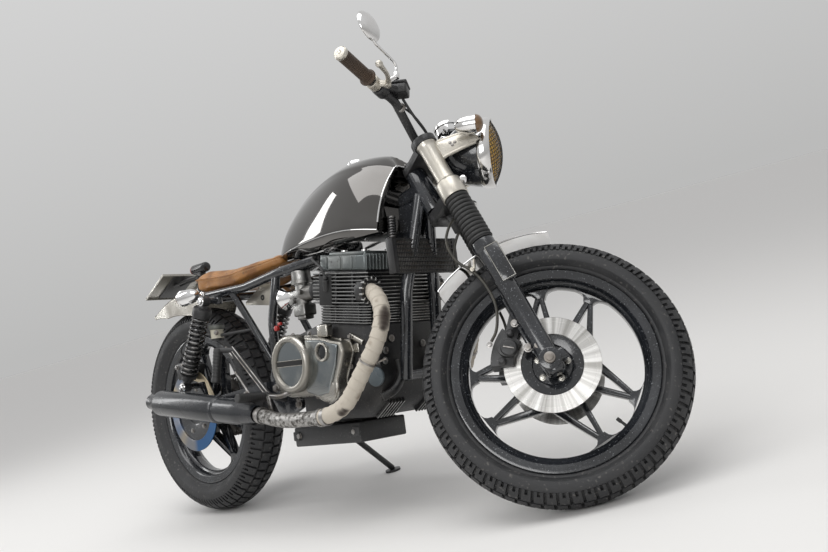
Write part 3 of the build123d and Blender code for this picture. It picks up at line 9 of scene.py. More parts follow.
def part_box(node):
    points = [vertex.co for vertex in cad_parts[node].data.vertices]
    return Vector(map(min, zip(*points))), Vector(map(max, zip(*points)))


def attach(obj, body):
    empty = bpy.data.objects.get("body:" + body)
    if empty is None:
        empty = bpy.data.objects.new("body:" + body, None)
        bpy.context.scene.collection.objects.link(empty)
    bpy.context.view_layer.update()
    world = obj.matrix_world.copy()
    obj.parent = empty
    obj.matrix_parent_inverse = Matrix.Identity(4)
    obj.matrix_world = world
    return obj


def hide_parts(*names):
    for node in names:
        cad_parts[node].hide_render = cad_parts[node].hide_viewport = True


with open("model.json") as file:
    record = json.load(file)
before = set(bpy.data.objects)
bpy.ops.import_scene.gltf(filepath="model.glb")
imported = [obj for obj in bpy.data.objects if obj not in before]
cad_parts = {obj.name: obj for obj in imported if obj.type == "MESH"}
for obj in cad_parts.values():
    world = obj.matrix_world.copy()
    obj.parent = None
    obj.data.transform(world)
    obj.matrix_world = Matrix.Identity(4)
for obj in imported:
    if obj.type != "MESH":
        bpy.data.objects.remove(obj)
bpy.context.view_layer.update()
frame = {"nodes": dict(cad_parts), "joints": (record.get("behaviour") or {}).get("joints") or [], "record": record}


# The studio: a pale floor that fades into a grey-white world, one large soft light
# over the machine, a second one on its right and a narrow one behind its tail.


def fill(tree, node, inputs):
    """Sets a node's inputs, each to a value or from another node's socket."""
    for name, value in inputs.items():
        if isinstance(value, bpy.types.NodeSocket):
            tree.links.new(value, node.inputs[name])
        else:
            node.inputs[name].default_value = value


def added(tree, kind, inputs, **settings):
    """A new shader node with its settings and inputs."""
    node = tree.nodes.new("ShaderNode" + kind)
    for setting, value in settings.items():
        setattr(node, setting, value)
    fill(tree, node, inputs)
    return node


def blend(tree, share, first, second):
    """The colour between two others, each a socket or red, green, blue and alpha."""
    mix = added(tree, "Mix", {}, data_type="RGBA")
    fill(tree, mix, {"Factor": share, "A": first, "B": second})
    return mix.outputs["Result"]


def ramp(tree, share, low, high):
    """The colour of a ramp between two stops, each a position and a colour."""
    node = added(tree, "ValToRGB", {"Fac": share})
    for stop, (position, colour) in zip(node.color_ramp.elements, (low, high)):
        stop.position = position
        stop.color = (*colour, 1)
    return node.outputs["Color"]


world = bpy.data.worlds.new("studio")
bpy.context.scene.world = world
world.use_nodes = True
sky = world.node_tree
sky_way = added(sky, "TexCoord", {})
sky_height = added(sky, "SeparateXYZ", {"Vector": sky_way.outputs["Generated"]}).outputs["Z"]
lit_sky = ramp(sky, sky_height, (0.0, (0.30, 0.30, 0.31)), (0.75, (0.85, 0.85, 0.86)))
seen_sky = ramp(sky, sky_height, (0.0, (0.62, 0.62, 0.615)), (0.45, (0.88, 0.88, 0.88)))
rays = added(sky, "LightPath", {}).outputs
seen_rays = added(sky, "Math", {0: rays["Is Camera Ray"], 1: rays["Is Glossy Ray"]}, operation="ADD")
seen_rays = added(sky, "Math", {0: seen_rays.outputs["Value"], 1: rays["Is Transmission Ray"]},
                  operation="ADD", use_clamp=True)
backdrop = blend(sky, seen_rays.outputs["Value"], lit_sky, seen_sky)
fill(sky, sky.nodes["Background"], {"Color": backdrop, "Strength": 0.8})

floor = bmesh.new()
bmesh.ops.create_grid(floor, x_segments=1, y_segments=1, size=40)
floor_mesh = bpy.data.meshes.new("studio_floor")
floor.to_mesh(floor_mesh)
floor.free()
floor_object = bpy.data.objects.new("studio_floor", floor_mesh)
bpy.context.scene.collection.objects.link(floor_object)
floor_object.location.z = -0.0005
floor_paint = bpy.data.materials.new("studio_floor")
floor_paint.use_nodes = True
fill(floor_paint.node_tree, floor_paint.node_tree.nodes["Principled BSDF"],
     {"Base Color": (0.78, 0.77, 0.75, 1), "Roughness": 0.6})
floor_mesh.materials.append(floor_paint)


def soft_light(name, place, aim, size, power):
    """A rectangular lamp that looks at a point; power is in watts."""
    lamp = bpy.data.lights.new(name, "AREA")
    lamp.shape = "RECTANGLE"
    lamp.size, lamp.size_y = size
    lamp.energy = power
    lamp_object = bpy.data.objects.new(name, lamp)
    bpy.context.scene.collection.objects.link(lamp_object)
    lamp_object.location = place
    lamp_object.rotation_mode = "QUATERNION"
    lamp_object.rotation_quaternion = (Vector(aim) - Vector(place)).to_track_quat("-Z", "Y")


soft_light("over_light", (0.3, -0.6, 3.4), (0.0, 0.0, 0.5), (3.6, 2.2), 60)
soft_light("right_light", (1.6, -3.6, 1.9), (0.1, 0.0, 0.5), (2.0, 1.4), 45)
soft_light("tail_light_strip", (-3.2, -1.2, 2.2), (-0.5, 0.0, 0.6), (0.5, 2.4), 25)

# The camera stands ahead and to the right of the machine at knee height,
# rolled to the right as in the photograph.
rear_wheel_low, rear_wheel_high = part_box("rear_rim")
camera_place = (rear_wheel_low + rear_wheel_high) / 2 + Vector((2.7491, -1.7504, 0.333))
camera_right = Vector((0.69800, 0.66381, -0.26862))
camera_down = Vector((-0.17428, -0.20637, -0.96283))
camera_ahead = Vector((-0.69457, 0.71887, -0.02835))
camera = bpy.data.cameras.new("camera")
camera.lens = 41.55
camera.sensor_width = 36
camera_object = bpy.data.objects.new("camera", camera)
bpy.context.scene.collection.objects.link(camera_object)
camera_turn = Matrix((camera_right, -camera_down, -camera_ahead)).transposed()
camera_object.matrix_world = Matrix.Translation(camera_place) @ camera_turn.to_4x4()
bpy.context.scene.camera = camera_object
bpy.context.scene.view_settings.view_transform = "Standard"


# Tyres: black rubber on 18 inch rims, with four rows of blocks 7 mm high. The blocks
# stand up from a crowned band, and each shoulder block has a notch in its outer edge.

BLOCK_HEIGHT = 7.0
BEAD_R = 228.6
LIP_R = 243.0


def revolved(profile, spots, axis, steps, closed=False):
    """Spins a profile about an axis; spots says where a radius and a height stand."""
    bm = bmesh.new()
    verts = [bm.verts.new(spots(r, height)) for r, height in profile]
    pairs = list(zip(verts, verts[1:])) + ([(verts[-1], verts[0])] if closed else [])
    edges = [bm.edges.new(pair) for pair in pairs]
    bmesh.ops.spin(bm, geom=verts + edges, cent=(0, 0, 0), axis=axis, dvec=(0, 0, 0),
                   angle=2 * math.pi, steps=steps, use_merge=True, use_duplicate=False)
    bmesh.ops.remove_doubles(bm, verts=bm.verts, dist=1e-3)
    bmesh.ops.recalc_face_normals(bm, faces=bm.faces)
    return bm


def spun(profile, steps):
    """A closed ring profile of radius and Y, turned about the Y axis."""
    return revolved(profile, lambda r, y: (r, y, 0), (0, 1, 0), steps, closed=True)


def linked(bm, name, material, body):
    """Turns a finished bmesh into a smooth-shaded piece that moves with a body."""
    mesh = bpy.data.meshes.new(name)
    bm.to_mesh(mesh)
    bm.free()
    piece = bpy.data.objects.new(name, mesh)
    bpy.context.scene.collection.objects.link(piece)
    mesh.materials.append(material)
    mesh.shade_smooth()
    mesh.set_sharp_from_angle(angle=math.radians(32))
    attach(piece, body)
    return piece


def placed(bm, name, place, material, slot, body, *nodes):
    """Puts a drawn piece in its place and lets it stand for its solids."""
    bm.transform(place)
    piece = linked(bm, name, material, body)
    if nodes:
        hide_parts(*nodes)
    return piece


def bumped(tree, height, strength, depth):
    """Raises a material's surface where height is high; depth is in metres."""
    bump = added(tree, "Bump", {"Height": height, "Strength": strength, "Distance": depth})
    fill(tree, tree.nodes["Principled BSDF"], {"Normal": bump.outputs["Normal"]})


def mottle_group():
    """A node group that makes a soft-edged mask from noise."""
    group = bpy.data.node_groups.new("mottle", "ShaderNodeTree")
    group.interface.new_socket("Place", in_out="INPUT", socket_type="NodeSocketVector")
    for name, value in (("Scale", 8.0), ("Low", 0.4), ("High", 0.65)):
        socket = group.interface.new_socket(name, in_out="INPUT", socket_type="NodeSocketFloat")
        socket.default_value = value
    group.interface.new_socket("Mask", in_out="OUTPUT", socket_type="NodeSocketFloat")
    given = group.nodes.new("NodeGroupInput").outputs
    noise = added(group, "TexNoise", {"Vector": given["Place"], "Scale": given["Scale"], "Detail": 5})
    edge = added(group, "MapRange", {"Value": noise.outputs["Fac"], "From Min": given["Low"],
                                     "From Max": given["High"]}, interpolation_type="SMOOTHSTEP")
    group.links.new(edge.outputs["Result"], group.nodes.new("NodeGroupOutput").inputs["Mask"])
    return group


mottle = mottle_group()


def mottled(tree, scale, low, high):
    """The mask of a mottle group on a piece's own coordinates."""
    place = added(tree, "TexCoord", {}).outputs["Object"]
    group = added(tree, "Group", {}, node_tree=mottle)
    fill(tree, group, {"Place": place, "Scale": scale, "Low": low, "High": high})
    return group.outputs["Mask"]


def finish(name, colour, second, rough=(0.3, 0.5), scale=9.0, metal=0.0, coat=0.0, grain=0.0,
           grain_scale=400.0, dust=None, dust_low=0.62, dust_scale=260.0):
    """A surface that drifts between two colours and two roughnesses, so that none is flat.

    Grain roughens it and dust is the colour of the fine specks that lie on it.
    """
    material = bpy.data.materials.new(name)
    material.use_nodes = True
    tree = material.node_tree
    mask = mottled(tree, scale, 0.38, 0.66)
    surface = blend(tree, mask, (*colour, 1), (*second, 1))
    polish = added(tree, "MapRange", {"Value": mask, "To Min": rough[0], "To Max": rough[1]})
    if dust:
        surface = blend(tree, mottled(tree, dust_scale, dust_low, dust_low + 0.1), surface, (*dust, 1))
    fill(tree, tree.nodes["Principled BSDF"], {
        "Metallic": metal, "Coat Weight": coat, "Coat Roughness": 0.06,
        "Base Color": surface, "Roughness": polish.outputs["Result"],
    })
    if grain:
        bumped(tree, mottled(tree, grain_scale, 0.2, 0.8), grain, 0.001)
    return material


tyre_rubber = finish("tyre_rubber", (0.016, 0.0165, 0.018), (0.030, 0.030, 0.031), (0.5, 0.72), scale=16,
                     dust=(0.09, 0.085, 0.08), dust_low=0.6, dust_scale=120, grain=0.4, grain_scale=600)


def block_tyre(name, radius, width, crown, bead_half, pitches, place, body, node):
    """A tyre with pitches blocks round each row; crown is the radius of its round section."""
    crown_r = radius - crown
    shoulder = math.asin((width / 2 - 6) / crown)
    shoulder_r = crown_r + crown * math.cos(shoulder)
    wall_r = (LIP_R + shoulder_r) / 2
    floor_crown = crown - BLOCK_HEIGHT
    rows = (-1.0, -0.86, -0.70, -0.52, -0.44, -0.24, -0.06, 0.06, 0.24, 0.44, 0.52, 0.70, 0.86, 1.0)
    band = [(crown_r + floor_crown * math.cos(share * shoulder), floor_crown * math.sin(share * shoulder))
            for share in rows]
    wall = [
        (BEAD_R + 0.4, bead_half - 0.4),
        (LIP_R + 0.4, bead_half - 0.4),
        (LIP_R + 0.4, bead_half + 2.0),
        (LIP_R + 2.5, bead_half + 5.5),
        (LIP_R + 5.0, bead_half + 7.5),
        (LIP_R + 8.0, bead_half + 8.2),
        (wall_r - 6.0, width / 2 - 4.4),
        (wall_r - 3.0, width / 2 - 2.9),
        (wall_r + 4.0, width / 2 - 2.2),
        (shoulder_r - 10.0, width / 2 - 3.8),
        (shoulder_r - 5.0, width / 2 - 5.8),
    ]
    profile = [(r, -y) for r, y in wall] + band + [(r, y) for r, y in reversed(wall)]
    steps = pitches * 4
    bm = spun(profile, steps)
    step = 2 * math.pi / steps
    raised = []
    for face in bm.faces:
        centre = face.calc_center_median()
        around = math.hypot(centre.x, centre.z)
        share = math.atan2(centre.y, around - crown_r) / shoulder
        side = 1 if share > 0 else -1
        share = abs(share)
        count = int((math.atan2(centre.z, centre.x) % (2 * math.pi)) / step)
        outer = 0.52 < share < 1.12 and around > shoulder_r - 10.5
        inner = 0.06 < share < 0.44
        if not (outer or inner):
            continue
        stagger = (0 if side > 0 else 2) + (0 if outer else 1)
        beat = (count + stagger) % 4
        notch = outer and beat == 1 and share > 0.86
        if beat != 3 and not notch:
            raised.append(face)
    grown = bmesh.ops.extrude_face_region(bm, geom=raised)
    for vert in (g for g in grown["geom"] if isinstance(g, bmesh.types.BMVert)):
        around = math.hypot(vert.co.x, vert.co.z)
        hub = Vector((vert.co.x, 0, vert.co.z)) * (crown_r / around)
        out = (vert.co - hub).normalized()
        tip = (vert.co - hub).length + BLOCK_HEIGHT
        vert.co = hub + out * min(tip, crown)
    bmesh.ops.delete(bm, geom=raised, context="FACES_ONLY")
    bmesh.ops.recalc_face_normals(bm, faces=bm.faces)
    return placed(bm, name, place, tyre_rubber, "tyre", body, node)


RAKE = math.radians(26.5)
joints = {joint["name"]: joint for joint in frame["joints"]}
MM = 0.001


def upright(axle_joint, axle):
    """The placing of upright millimetres on the body that carries an axle.

    The machine stands leaned and steered. Its pieces are drawn upright, X ahead from the
    rear axle, Y to the left and Z up from the ground, and the joints' axes place them.
    """
    across = Vector(joints[axle_joint]["axis"])
    fork_up = Vector(joints["steering_turn"]["axis"])
    fork_ahead = across.cross(fork_up)
    ahead = fork_ahead * math.cos(RAKE) - fork_up * math.sin(RAKE)
    up = fork_ahead * math.sin(RAKE) + fork_up * math.cos(RAKE)
    turning = Matrix((ahead, across, up)).transposed().to_4x4() @ Matrix.Scale(MM, 4)
    return Matrix.Translation(Vector(joints[axle_joint]["pos_m"])) @ turning @ Matrix.Translation(-axle)


FRONT_AXLE = Vector((1397, 0, 316.5))
FRONT_END = upright("front_wheel_spin", FRONT_AXLE)
FRONT_WHEEL = FRONT_END @ Matrix.Translation(FRONT_AXLE)
block_tyre("front_block_tyre", 316.5, 112, 62, 28, 66, FRONT_WHEEL, "front_wheel", "front_tyre")
REAR_AXLE = Vector((0, 0, 333))
CHASSIS = upright("rear_wheel_spin", REAR_AXLE)
REAR_WHEEL = CHASSIS @ Matrix.Translation(REAR_AXLE)
block_tyre("rear_block_tyre", 333, 130, 72, 36, 62, REAR_WHEEL, "rear_wheel", "rear_tyre")


# Wheels: cast alloy in gloss black. Six junctions stand on the rim in three pairs;
# two slim spokes run in from each, one to the hub and one to the next pair's arm.


def polar(radius, degrees):
    """X and Z of a point on a wheel."""
    return radius * math.cos(math.radians(degrees)), radius * math.sin(math.radians(degrees))


def softened(bm, edges, width, segments):
    """Rounds edges over a width."""
    bmesh.ops.bevel(bm, geom=edges, offset=width, offset_type="OFFSET", segments=segments, profile=0.5,
                    affect="EDGES", clamp_overlap=True, material=-1)


def spoke(start, end, width, thick, flare=1.5):
    """A cast spoke with rounded edges, wider at its root."""
    (x0, z0), (x1, z1) = start, end
    along = Vector((x1 - x0, 0, z1 - z0))
    middle = Vector(((x0 + x1) / 2, 0, (z0 + z1) / 2))
    ahead = along.normalized()
    side = Vector((0, 1, 0)).cross(ahead)
    place = Matrix.Translation(middle) @ Matrix((ahead, Vector((0, 1, 0)), -side)).transposed().to_4x4()
    bm = bmesh.new()
    bmesh.ops.create_cube(bm, size=1, matrix=Matrix.Diagonal((along.length, thick, width, 1)))
    for v in bm.verts:
        if v.co.x < 0:
            v.co.z *= flare
    faces = [f for f in bm.faces if abs(f.normal.y) > 0.9]
    bmesh.ops.inset_individual(bm, faces=faces, thickness=width * 0.26, depth=-thick * 0.12)
    edges = [e for e in bm.edges if e.calc_face_angle(0) > 0.6]
    softened(bm, edges, 1.3, 2)
    bm.transform(place)
    return bm


def junction_foot(angle, thick):
    """The webbed foot on the rim where two spokes meet, with hollow curved flanks."""
    bm = bmesh.new()
    flank = [(205, 13), (201.5, 8.5), (197.5, 6), (191, 4.4), (181, 3.4)]
    outline = [polar(r, angle - a) for r, a in flank] + [polar(r, angle + a) for r, a in reversed(flank)]
    verts = [bm.verts.new((x, -thick / 2, z)) for x, z in outline]
    face = bm.faces.new(verts)
    grown = bmesh.ops.extrude_face_region(bm, geom=[face])
    up = [g for g in grown["geom"] if isinstance(g, bmesh.types.BMVert)]
    bmesh.ops.translate(bm, verts=up, vec=(0, thick, 0))
    edges = [e for e in bm.edges if e.calc_face_angle(0) > 0.6]
    softened(bm, edges, 1.5, 2)
    bmesh.ops.recalc_face_normals(bm, faces=bm.faces)
    return bm


def joined(*parts):
    """One bmesh from several."""
    whole = bmesh.new()
    for part in parts:
        spare = bpy.data.meshes.new("spare")
        part.to_mesh(spare)
        part.free()
        whole.from_mesh(spare)
        bpy.data.meshes.remove(spare)
    return whole


gloss_black = finish("gloss_black", (0.008, 0.009, 0.011), (0.016, 0.018, 0.022), (0.10, 0.28), coat=0.6,
                     dust=(0.20, 0.21, 0.22), grain=0.12, grain_scale=120)


def cast_wheel(name, bead_half, hub_r, hub_half, width, thick, place, body, node, carriers):
    """A rim, a hub, six spokes from it, six from pair to pair, and the discs' carriers."""
    lip = bead_half + 5
    half = [
        (204, 0), (204, 11), (205, 14.5), (208, 18), (212, 21), (216, bead_half - 4), (219.6, lip - 3.2),
        (222, lip - 1.4), (234, lip - 0.6), (238, lip - 0.2), (241, lip - 0.6), (242.6, lip - 2),
        (243, bead_half + 1.4), (242.6, bead_half), (230.6, bead_half), (228.6, bead_half - 2),
        (228.6, 20), (220, 12), (219.6, 0),
    ]
    profile = half + [(r, -y) for r, y in reversed(half[:-1])][:-1]
    parts = [spun(profile, 144)]
    hub = [(9, -hub_half), (hub_r * 0.8, -hub_half), (hub_r * 0.86, -hub_half + 4), (hub_r * 0.8, -thick),
           (hub_r * 0.86, -thick * 0.6), (hub_r * 0.95, -thick / 2), (hub_r * 0.95, thick / 2),
           (hub_r * 0.86, thick * 0.6), (hub_r * 0.8, thick), (hub_r * 0.86, hub_half - 4),
           (hub_r * 0.8, hub_half), (9, hub_half)]
    parts.append(spun(hub, 64))
    for group in (80, 200, 320):
        for side in (-1, 1):
            junction = group + side * 18
            tip = polar(198, junction)
            parts.append(spoke(polar(44, group), tip, width, thick))
            parts.append(spoke(polar(86, group + side * 60), tip, width, thick))
            parts.append(junction_foot(junction, thick))
        parts.append(spoke(polar(40, group + 60), polar(96, group + 60), 26, thick, flare=1.2))
    for side, outer_r in carriers:
        near, far = side * (hub_half - 6), side * (hub_half + 5)
        flange = [(9, near), (outer_r - 2, near), (outer_r, near + side * 1.5), (outer_r, far - side * 1.2),
                  (outer_r - 1.2, far), (49, far), (46, far - side * 1), (45, far - side * 4),
                  (25, far - side * 4), (24, far - side * 1), (22, far), (9, far)]
        parts.append(spun(flange, 72))
    return placed(joined(*parts), name, place, gloss_black, "black_gloss_paint", body, node)


cast_wheel("front_cast_wheel", 28, 52, 58, 11, 24, FRONT_WHEEL, "front_wheel", "front_rim",
           ((-1, 78), (1, 78)))
cast_wheel("rear_cast_wheel", 36, 60, 68, 14, 30, REAR_WHEEL, "rear_wheel", "rear_rim", ((-1, 104),))

# Hub bolts and valves: steel and alloy bolts hold each disc's carrier from the outside,
# and a rubber valve with a thicker cap stands in each rim.
hub_bolts = []


def bar(start, end, r_start, r_end=None, segments=24, soften=0.0):
    """A round bar or taper between two points, with its ends softened."""
    start, end = Vector(start), Vector(end)
    along = end - start
    place = Matrix.Translation((start + end) / 2) @ along.to_track_quat("Z", "Y").to_matrix().to_4x4()
    bm = bmesh.new()
    bmesh.ops.create_cone(bm, cap_ends=True, cap_tris=False, segments=segments, radius1=r_start,
                          radius2=r_start if r_end is None else r_end, depth=along.length, matrix=place)
    if soften:
        softened(bm, [e for e in bm.edges if any(len(f.verts) > 4 for f in e.link_faces)], soften, 3)
    return bm


def hexagon(at, way, across_flats, height):
    """A hexagon bolt head with a washer under it, standing along way."""
    at, way = Vector(at), Vector(way).normalized()
    head = bar(at + way * 0.8, at + way * height, across_flats * 0.577, segments=6, soften=0.5)
    return joined(head, bar(at - way * 0.5, at + way * 1.2, across_flats * 0.72, segments=20, soften=0.3))


for side in (-1, 1):
    for number in range(5):
        x, z = polar(36, 72 * number + 14)
        hub_bolts.append(hexagon((x, side * 58.6, z), (0, side, 0), 11, 7))
cast_alloy = finish("cast_alloy", (0.44, 0.425, 0.39), (0.30, 0.285, 0.255), (0.20, 0.38), metal=1.0,
                    dust=(0.14, 0.12, 0.10), dust_low=0.64, dust_scale=90, grain=0.2, grain_scale=350)
placed(joined(*hub_bolts), "front_hub_bolts", FRONT_WHEEL, cast_alloy, "cast_aluminium", "front_wheel")
hub_bolts = []
RIGHT = (0, -1, 0)
for number in range(6):
    x, z = polar(70, 60 * number + 10)
    hub_bolts.append(hexagon((x, -72.6, z), RIGHT, 11, 5))
steel = finish("dull_steel", (0.36, 0.35, 0.34), (0.22, 0.20, 0.18), (0.3, 0.5), metal=1.0, scale=30,
               grain=0.2)
placed(joined(*hub_bolts), "rear_hub_bolts", REAR_WHEEL, steel, "steel", "rear_wheel")
black_rubber = finish("black_rubber", (0.012, 0.012, 0.012), (0.022, 0.022, 0.022), (0.42, 0.6), grain=0.3,
                      grain_scale=700)
for place, body, angle in ((FRONT_WHEEL, "front_wheel", -41), (REAR_WHEEL, "rear_wheel", 30)):
    (foot_x, foot_z), (cap_x, cap_z), (top_x, top_z) = [polar(radius, angle) for radius in (206, 190, 178)]
    stem = joined(bar((foot_x, 0, foot_z), (top_x, 0, top_z), 3.6, 3.0, soften=0.5),
                  bar((cap_x, 0, cap_z), (top_x, 0, top_z), 4.4, soften=0.8))
    placed(stem, body + "_valve", place, black_rubber, "rubber", body)


# Brake discs: stainless steel, turned on a lathe, so fine grooves run round the faces
# and the light stands on them in radial streaks; on the front discs these streaks are
# also painted into the colour as highlights. They float on the black carriers.


def disc_steel(name, streak_scale, streak_detail, low, high):
    """Turned steel: streaks of two colours by angle round the disc, and fine grooves across it. On the front discs
    the streaks are painted highlights; on the rear one they are its heat tint.
    """
    material = bpy.data.materials.new(name)
    material.use_nodes = True
    tree = material.node_tree
    flat = added(tree, "SeparateXYZ", {"Vector": added(tree, "UVMap", {}, uv_map="round").outputs["UV"]})
    tangent = added(tree, "Tangent", {}, direction_type="UV_MAP", uv_map="round")
    streak = added(tree, "TexNoise", {}, noise_dimensions="1D")
    fill(tree, streak, {"W": flat.outputs["X"], "Scale": streak_scale, "Detail": streak_detail})
    groove = added(tree, "TexNoise", {}, noise_dimensions="1D")
    fill(tree, groove, {"W": flat.outputs["Y"], "Scale": 90, "Detail": 3})
    rough = added(tree, "MapRange", {"Value": groove.outputs["Fac"], "To Min": 0.22, "To Max": 0.40})
    fill(tree, tree.nodes["Principled BSDF"], {
        "Metallic": 1.0, "Anisotropic": 0.75, "Tangent": tangent.outputs["Tangent"],
        "Base Color": ramp(tree, streak.outputs["Fac"], low, high), "Roughness": rough.outputs["Result"],
    })
    bumped(tree, groove.outputs["Fac"], 0.25, 0.0004)
    return material


# The front discs' bright and dark streaks are painted radial highlights.
turned_steel_painted_highlights = disc_steel("turned_steel_painted_highlights", 30, 6, (0.38, (0.40, 0.39, 0.37)), (0.66, (0.86, 0.85, 0.83)))

# Hard braking has tinted the rear disc straw and blue in broad zones.
tinted_steel = disc_steel("tinted_steel", 3.2, 2, (0.44, (0.07, 0.17, 0.36)), (0.56, (0.52, 0.44, 0.31)))


def turned_disc(name, outer_r, bore_r, faces, place, metal, slot, body, node):
    """Flat rings with softened rims; the map runs round them and across them."""
    rings = []
    for near, far in faces:
        ring = [(bore_r, near + 0.6), (bore_r + 0.6, near), (outer_r - 0.6, near), (outer_r, near + 0.6),
                (outer_r, far - 0.6), (outer_r - 0.6, far), (bore_r + 0.6, far), (bore_r, far - 0.6)]
        rings.append(spun(ring, 128))
    bm = joined(*rings)
    layer = bm.loops.layers.uv.new("round")
    for face in bm.faces:
        centre = face.calc_center_median()
        mid = math.atan2(centre.z, centre.x)
        for loop in face.loops:
            at = math.atan2(loop.vert.co.z, loop.vert.co.x)
            near_turn = mid + (at - mid + math.pi) % (2 * math.pi) - math.pi
            loop[layer].uv = (near_turn / (2 * math.pi), math.hypot(loop.vert.co.x, loop.vert.co.z) / 100)
    return placed(bm, name, place, metal, slot, body, node)


turned_disc("front_turned_discs", 112, 71.5, ((-68, -63), (63, 68)), FRONT_WHEEL, turned_steel_painted_highlights,
            "brushed_disc", "front_wheel", "front_brake_discs")
turned_disc("rear_turned_disc", 132, 98, ((-78, -73),), REAR_WHEEL, tinted_steel, "brushed_disc",
            "rear_wheel", "rear_brake_disc")


# The tank: pressed steel, polished chrome, with a dark base colour that paints a dark
# reflection on it. Its sides fall from a narrow crown to a ridge, and under the ridge a
# band turns in to the seam along the floor.

# The chrome's dark base colour is a painted dark reflection, not a tint of the metal.
tank_metal = finish("chrome_painted_dark_reflection", (0.105, 0.10, 0.095), (0.085, 0.08, 0.075), (0.03, 0.07), scale=5,
                    metal=1.0, coat=0.7)
TANK_STATIONS = (
    # x, ridge half width, ridge height, floor half width, floor, top, fullness, lean forward
    (512, 46, 738, 36, 729, 772, 1.0, 0),
    (530, 58, 741, 44, 727, 800, 1.0, 0),
    (575, 78, 745, 58, 725, 846, 0.95, 0),
    (650, 99, 749, 76, 722, 892, 0.9, 0),
    (740, 117, 751, 94, 720, 927, 0.85, 0),
    (830, 130, 750, 108, 720, 946, 0.85, 2),
    (900, 133, 746, 114, 719, 947, 0.95, 8),
    (955, 126, 738, 112, 719, 937, 1.2, 18),
    (1000, 108, 729, 101, 722, 914, 1.55, 28),
)
TANK_CELLS = 56


def smoothed(stations, count):
    """More stations on a smooth curve through the given ones."""
    rows = []
    last = len(stations) - 1
    for number in range(count + 1):
        at = number / count * last
        i = min(int(at), last - 1)
        t = at - i
        quad = [stations[max(i - 1, 0)], stations[i], stations[i + 1], stations[min(i + 2, last)]]
        row = []
        for a, b, c, d in zip(*quad):
            bend = (c - a) * t + (2 * a - 5 * b + 4 * c - d) * t * t + (3 * b - a - 3 * c + d) * t ** 3
            row.append(0.5 * (2 * b + bend))
        rows.append(tuple(row))
    return rows


TANK_ROWS = smoothed(TANK_STATIONS, TANK_CELLS)
FLOOR_SHARE, BAND_SHARE = 0.12, 0.2


def tank_point(u, v):
    """A point of the tank: u runs round it from the middle of its floor, v from its tail."""
    x, ridge_w, ridge_z, floor_w, floor_z, top, full, lean = TANK_ROWS[round(v * TANK_CELLS)]
    side = -1 if u < 0.5 else 1
    up = 1 - abs(u - 0.5) * 2
    if up < FLOOR_SHARE:
        return Vector((x, side * floor_w * up / FLOOR_SHARE, floor_z))
    if up < BAND_SHARE:
        share = (up - FLOOR_SHARE) / (BAND_SHARE - FLOOR_SHARE)
        out = floor_w + (ridge_w - floor_w) * share
        return Vector((x, side * out, floor_z + (ridge_z - floor_z) * share ** 1.3))
    angle = (up - BAND_SHARE) / (1 - BAND_SHARE) * math.pi / 2
    out = math.cos(angle) ** full * ridge_w
    rise = math.sin(angle)
    fold = 1.8 * math.exp(-((rise - 0.86) / 0.035) ** 2)
    return Vector((x + lean * rise ** 0.7, side * (out + fold), ridge_z + (top - ridge_z) * rise))


STEM_CLEARANCE = 36
STEM_X, STEM_Z = 1346.7, 291.4


def beside_stem(p):
    """The point, moved back where it would come too near to the steering axis."""
    ahead = (p.x - STEM_X) * math.cos(RAKE) + (p.z - STEM_Z) * math.sin(RAKE)
    if math.hypot(ahead, p.y) >= STEM_CLEARANCE or abs(p.y) >= STEM_CLEARANCE:
        return p
    back = -math.sqrt(STEM_CLEARANCE ** 2 - p.y ** 2) - ahead
    return p + Vector((math.cos(RAKE), 0, math.sin(RAKE))) * back


def draped(round_cells, long_cells, point, closed_ends=True):
    """A grid whose points are moved to point(u, v), joined up where it meets itself.

    The first number runs round the piece from 0 to 1 and the second one along it.
    """
    bm = bmesh.new()
    bmesh.ops.create_grid(bm, x_segments=round_cells, y_segments=long_cells, size=0.5)
    for v in bm.verts:
        v.co = point(v.co.x + 0.5, v.co.y + 0.5)
    bmesh.ops.remove_doubles(bm, verts=bm.verts, dist=0.01)
    if closed_ends:
        bmesh.ops.holes_fill(bm, edges=[e for e in bm.edges if e.is_boundary], sides=0)
    bmesh.ops.recalc_face_normals(bm, faces=bm.faces)
    return bm


tank_body = draped(104, TANK_CELLS, tank_point)
for v in tank_body.verts:
    v.co = beside_stem(v.co)
placed(tank_body, "tank_painted_dark_reflection", CHASSIS, tank_metal, "chrome_tank", "chassis", "fuel_tank")
front_lip = [beside_stem(tank_point(u / 96, 1.0)) for u in range(12, 85)]


def swept(line, radius, segments=14):
    """A round section carried along a line; radius is a number or depends on the share run."""
    ways = []
    for number in range(len(line)):
        ahead = line[min(number + 1, len(line) - 1)] - line[max(number - 1, 0)]
        ways.append(ahead.normalized())
    side = ways[0].orthogonal().normalized()
    sides = []
    for way in ways:
        side = (side - way * side.dot(way)).normalized()
        sides.append(side)
    last = len(line) - 1

    def point(u, v):
        number = round(v * last)
        size = radius(v) if callable(radius) else radius
        turn_by = u * 2 * math.pi
        out = sides[number] * math.cos(turn_by) + ways[number].cross(sides[number]) * math.sin(turn_by)
        return line[number] + out * size

    return draped(segments, last, point)


lip = swept(front_lip, 2.6, 8)
rear_lip = [tank_point(0.1, v / TANK_CELLS) + Vector((0, -0.5, -0.5)) for v in range(TANK_CELLS + 1)]


def mirrored(bm):
    """The piece with its mirror image on the other side of the machine."""
    other = bm.copy()
    other.transform(Matrix.Diagonal((1, -1, 1, 1)))
    bmesh.ops.reverse_faces(other, faces=other.faces)
    return joined(bm, other)


lip = joined(lip, mirrored(swept(rear_lip, 1.6, 8)))
chrome = finish("chrome", (0.80, 0.80, 0.80), (0.68, 0.67, 0.66), (0.04, 0.12), scale=14, metal=1.0,
                dust=(0.35, 0.33, 0.31), dust_low=0.68)
placed(lip, "tank_seams", CHASSIS, chrome, "chrome", "chassis")


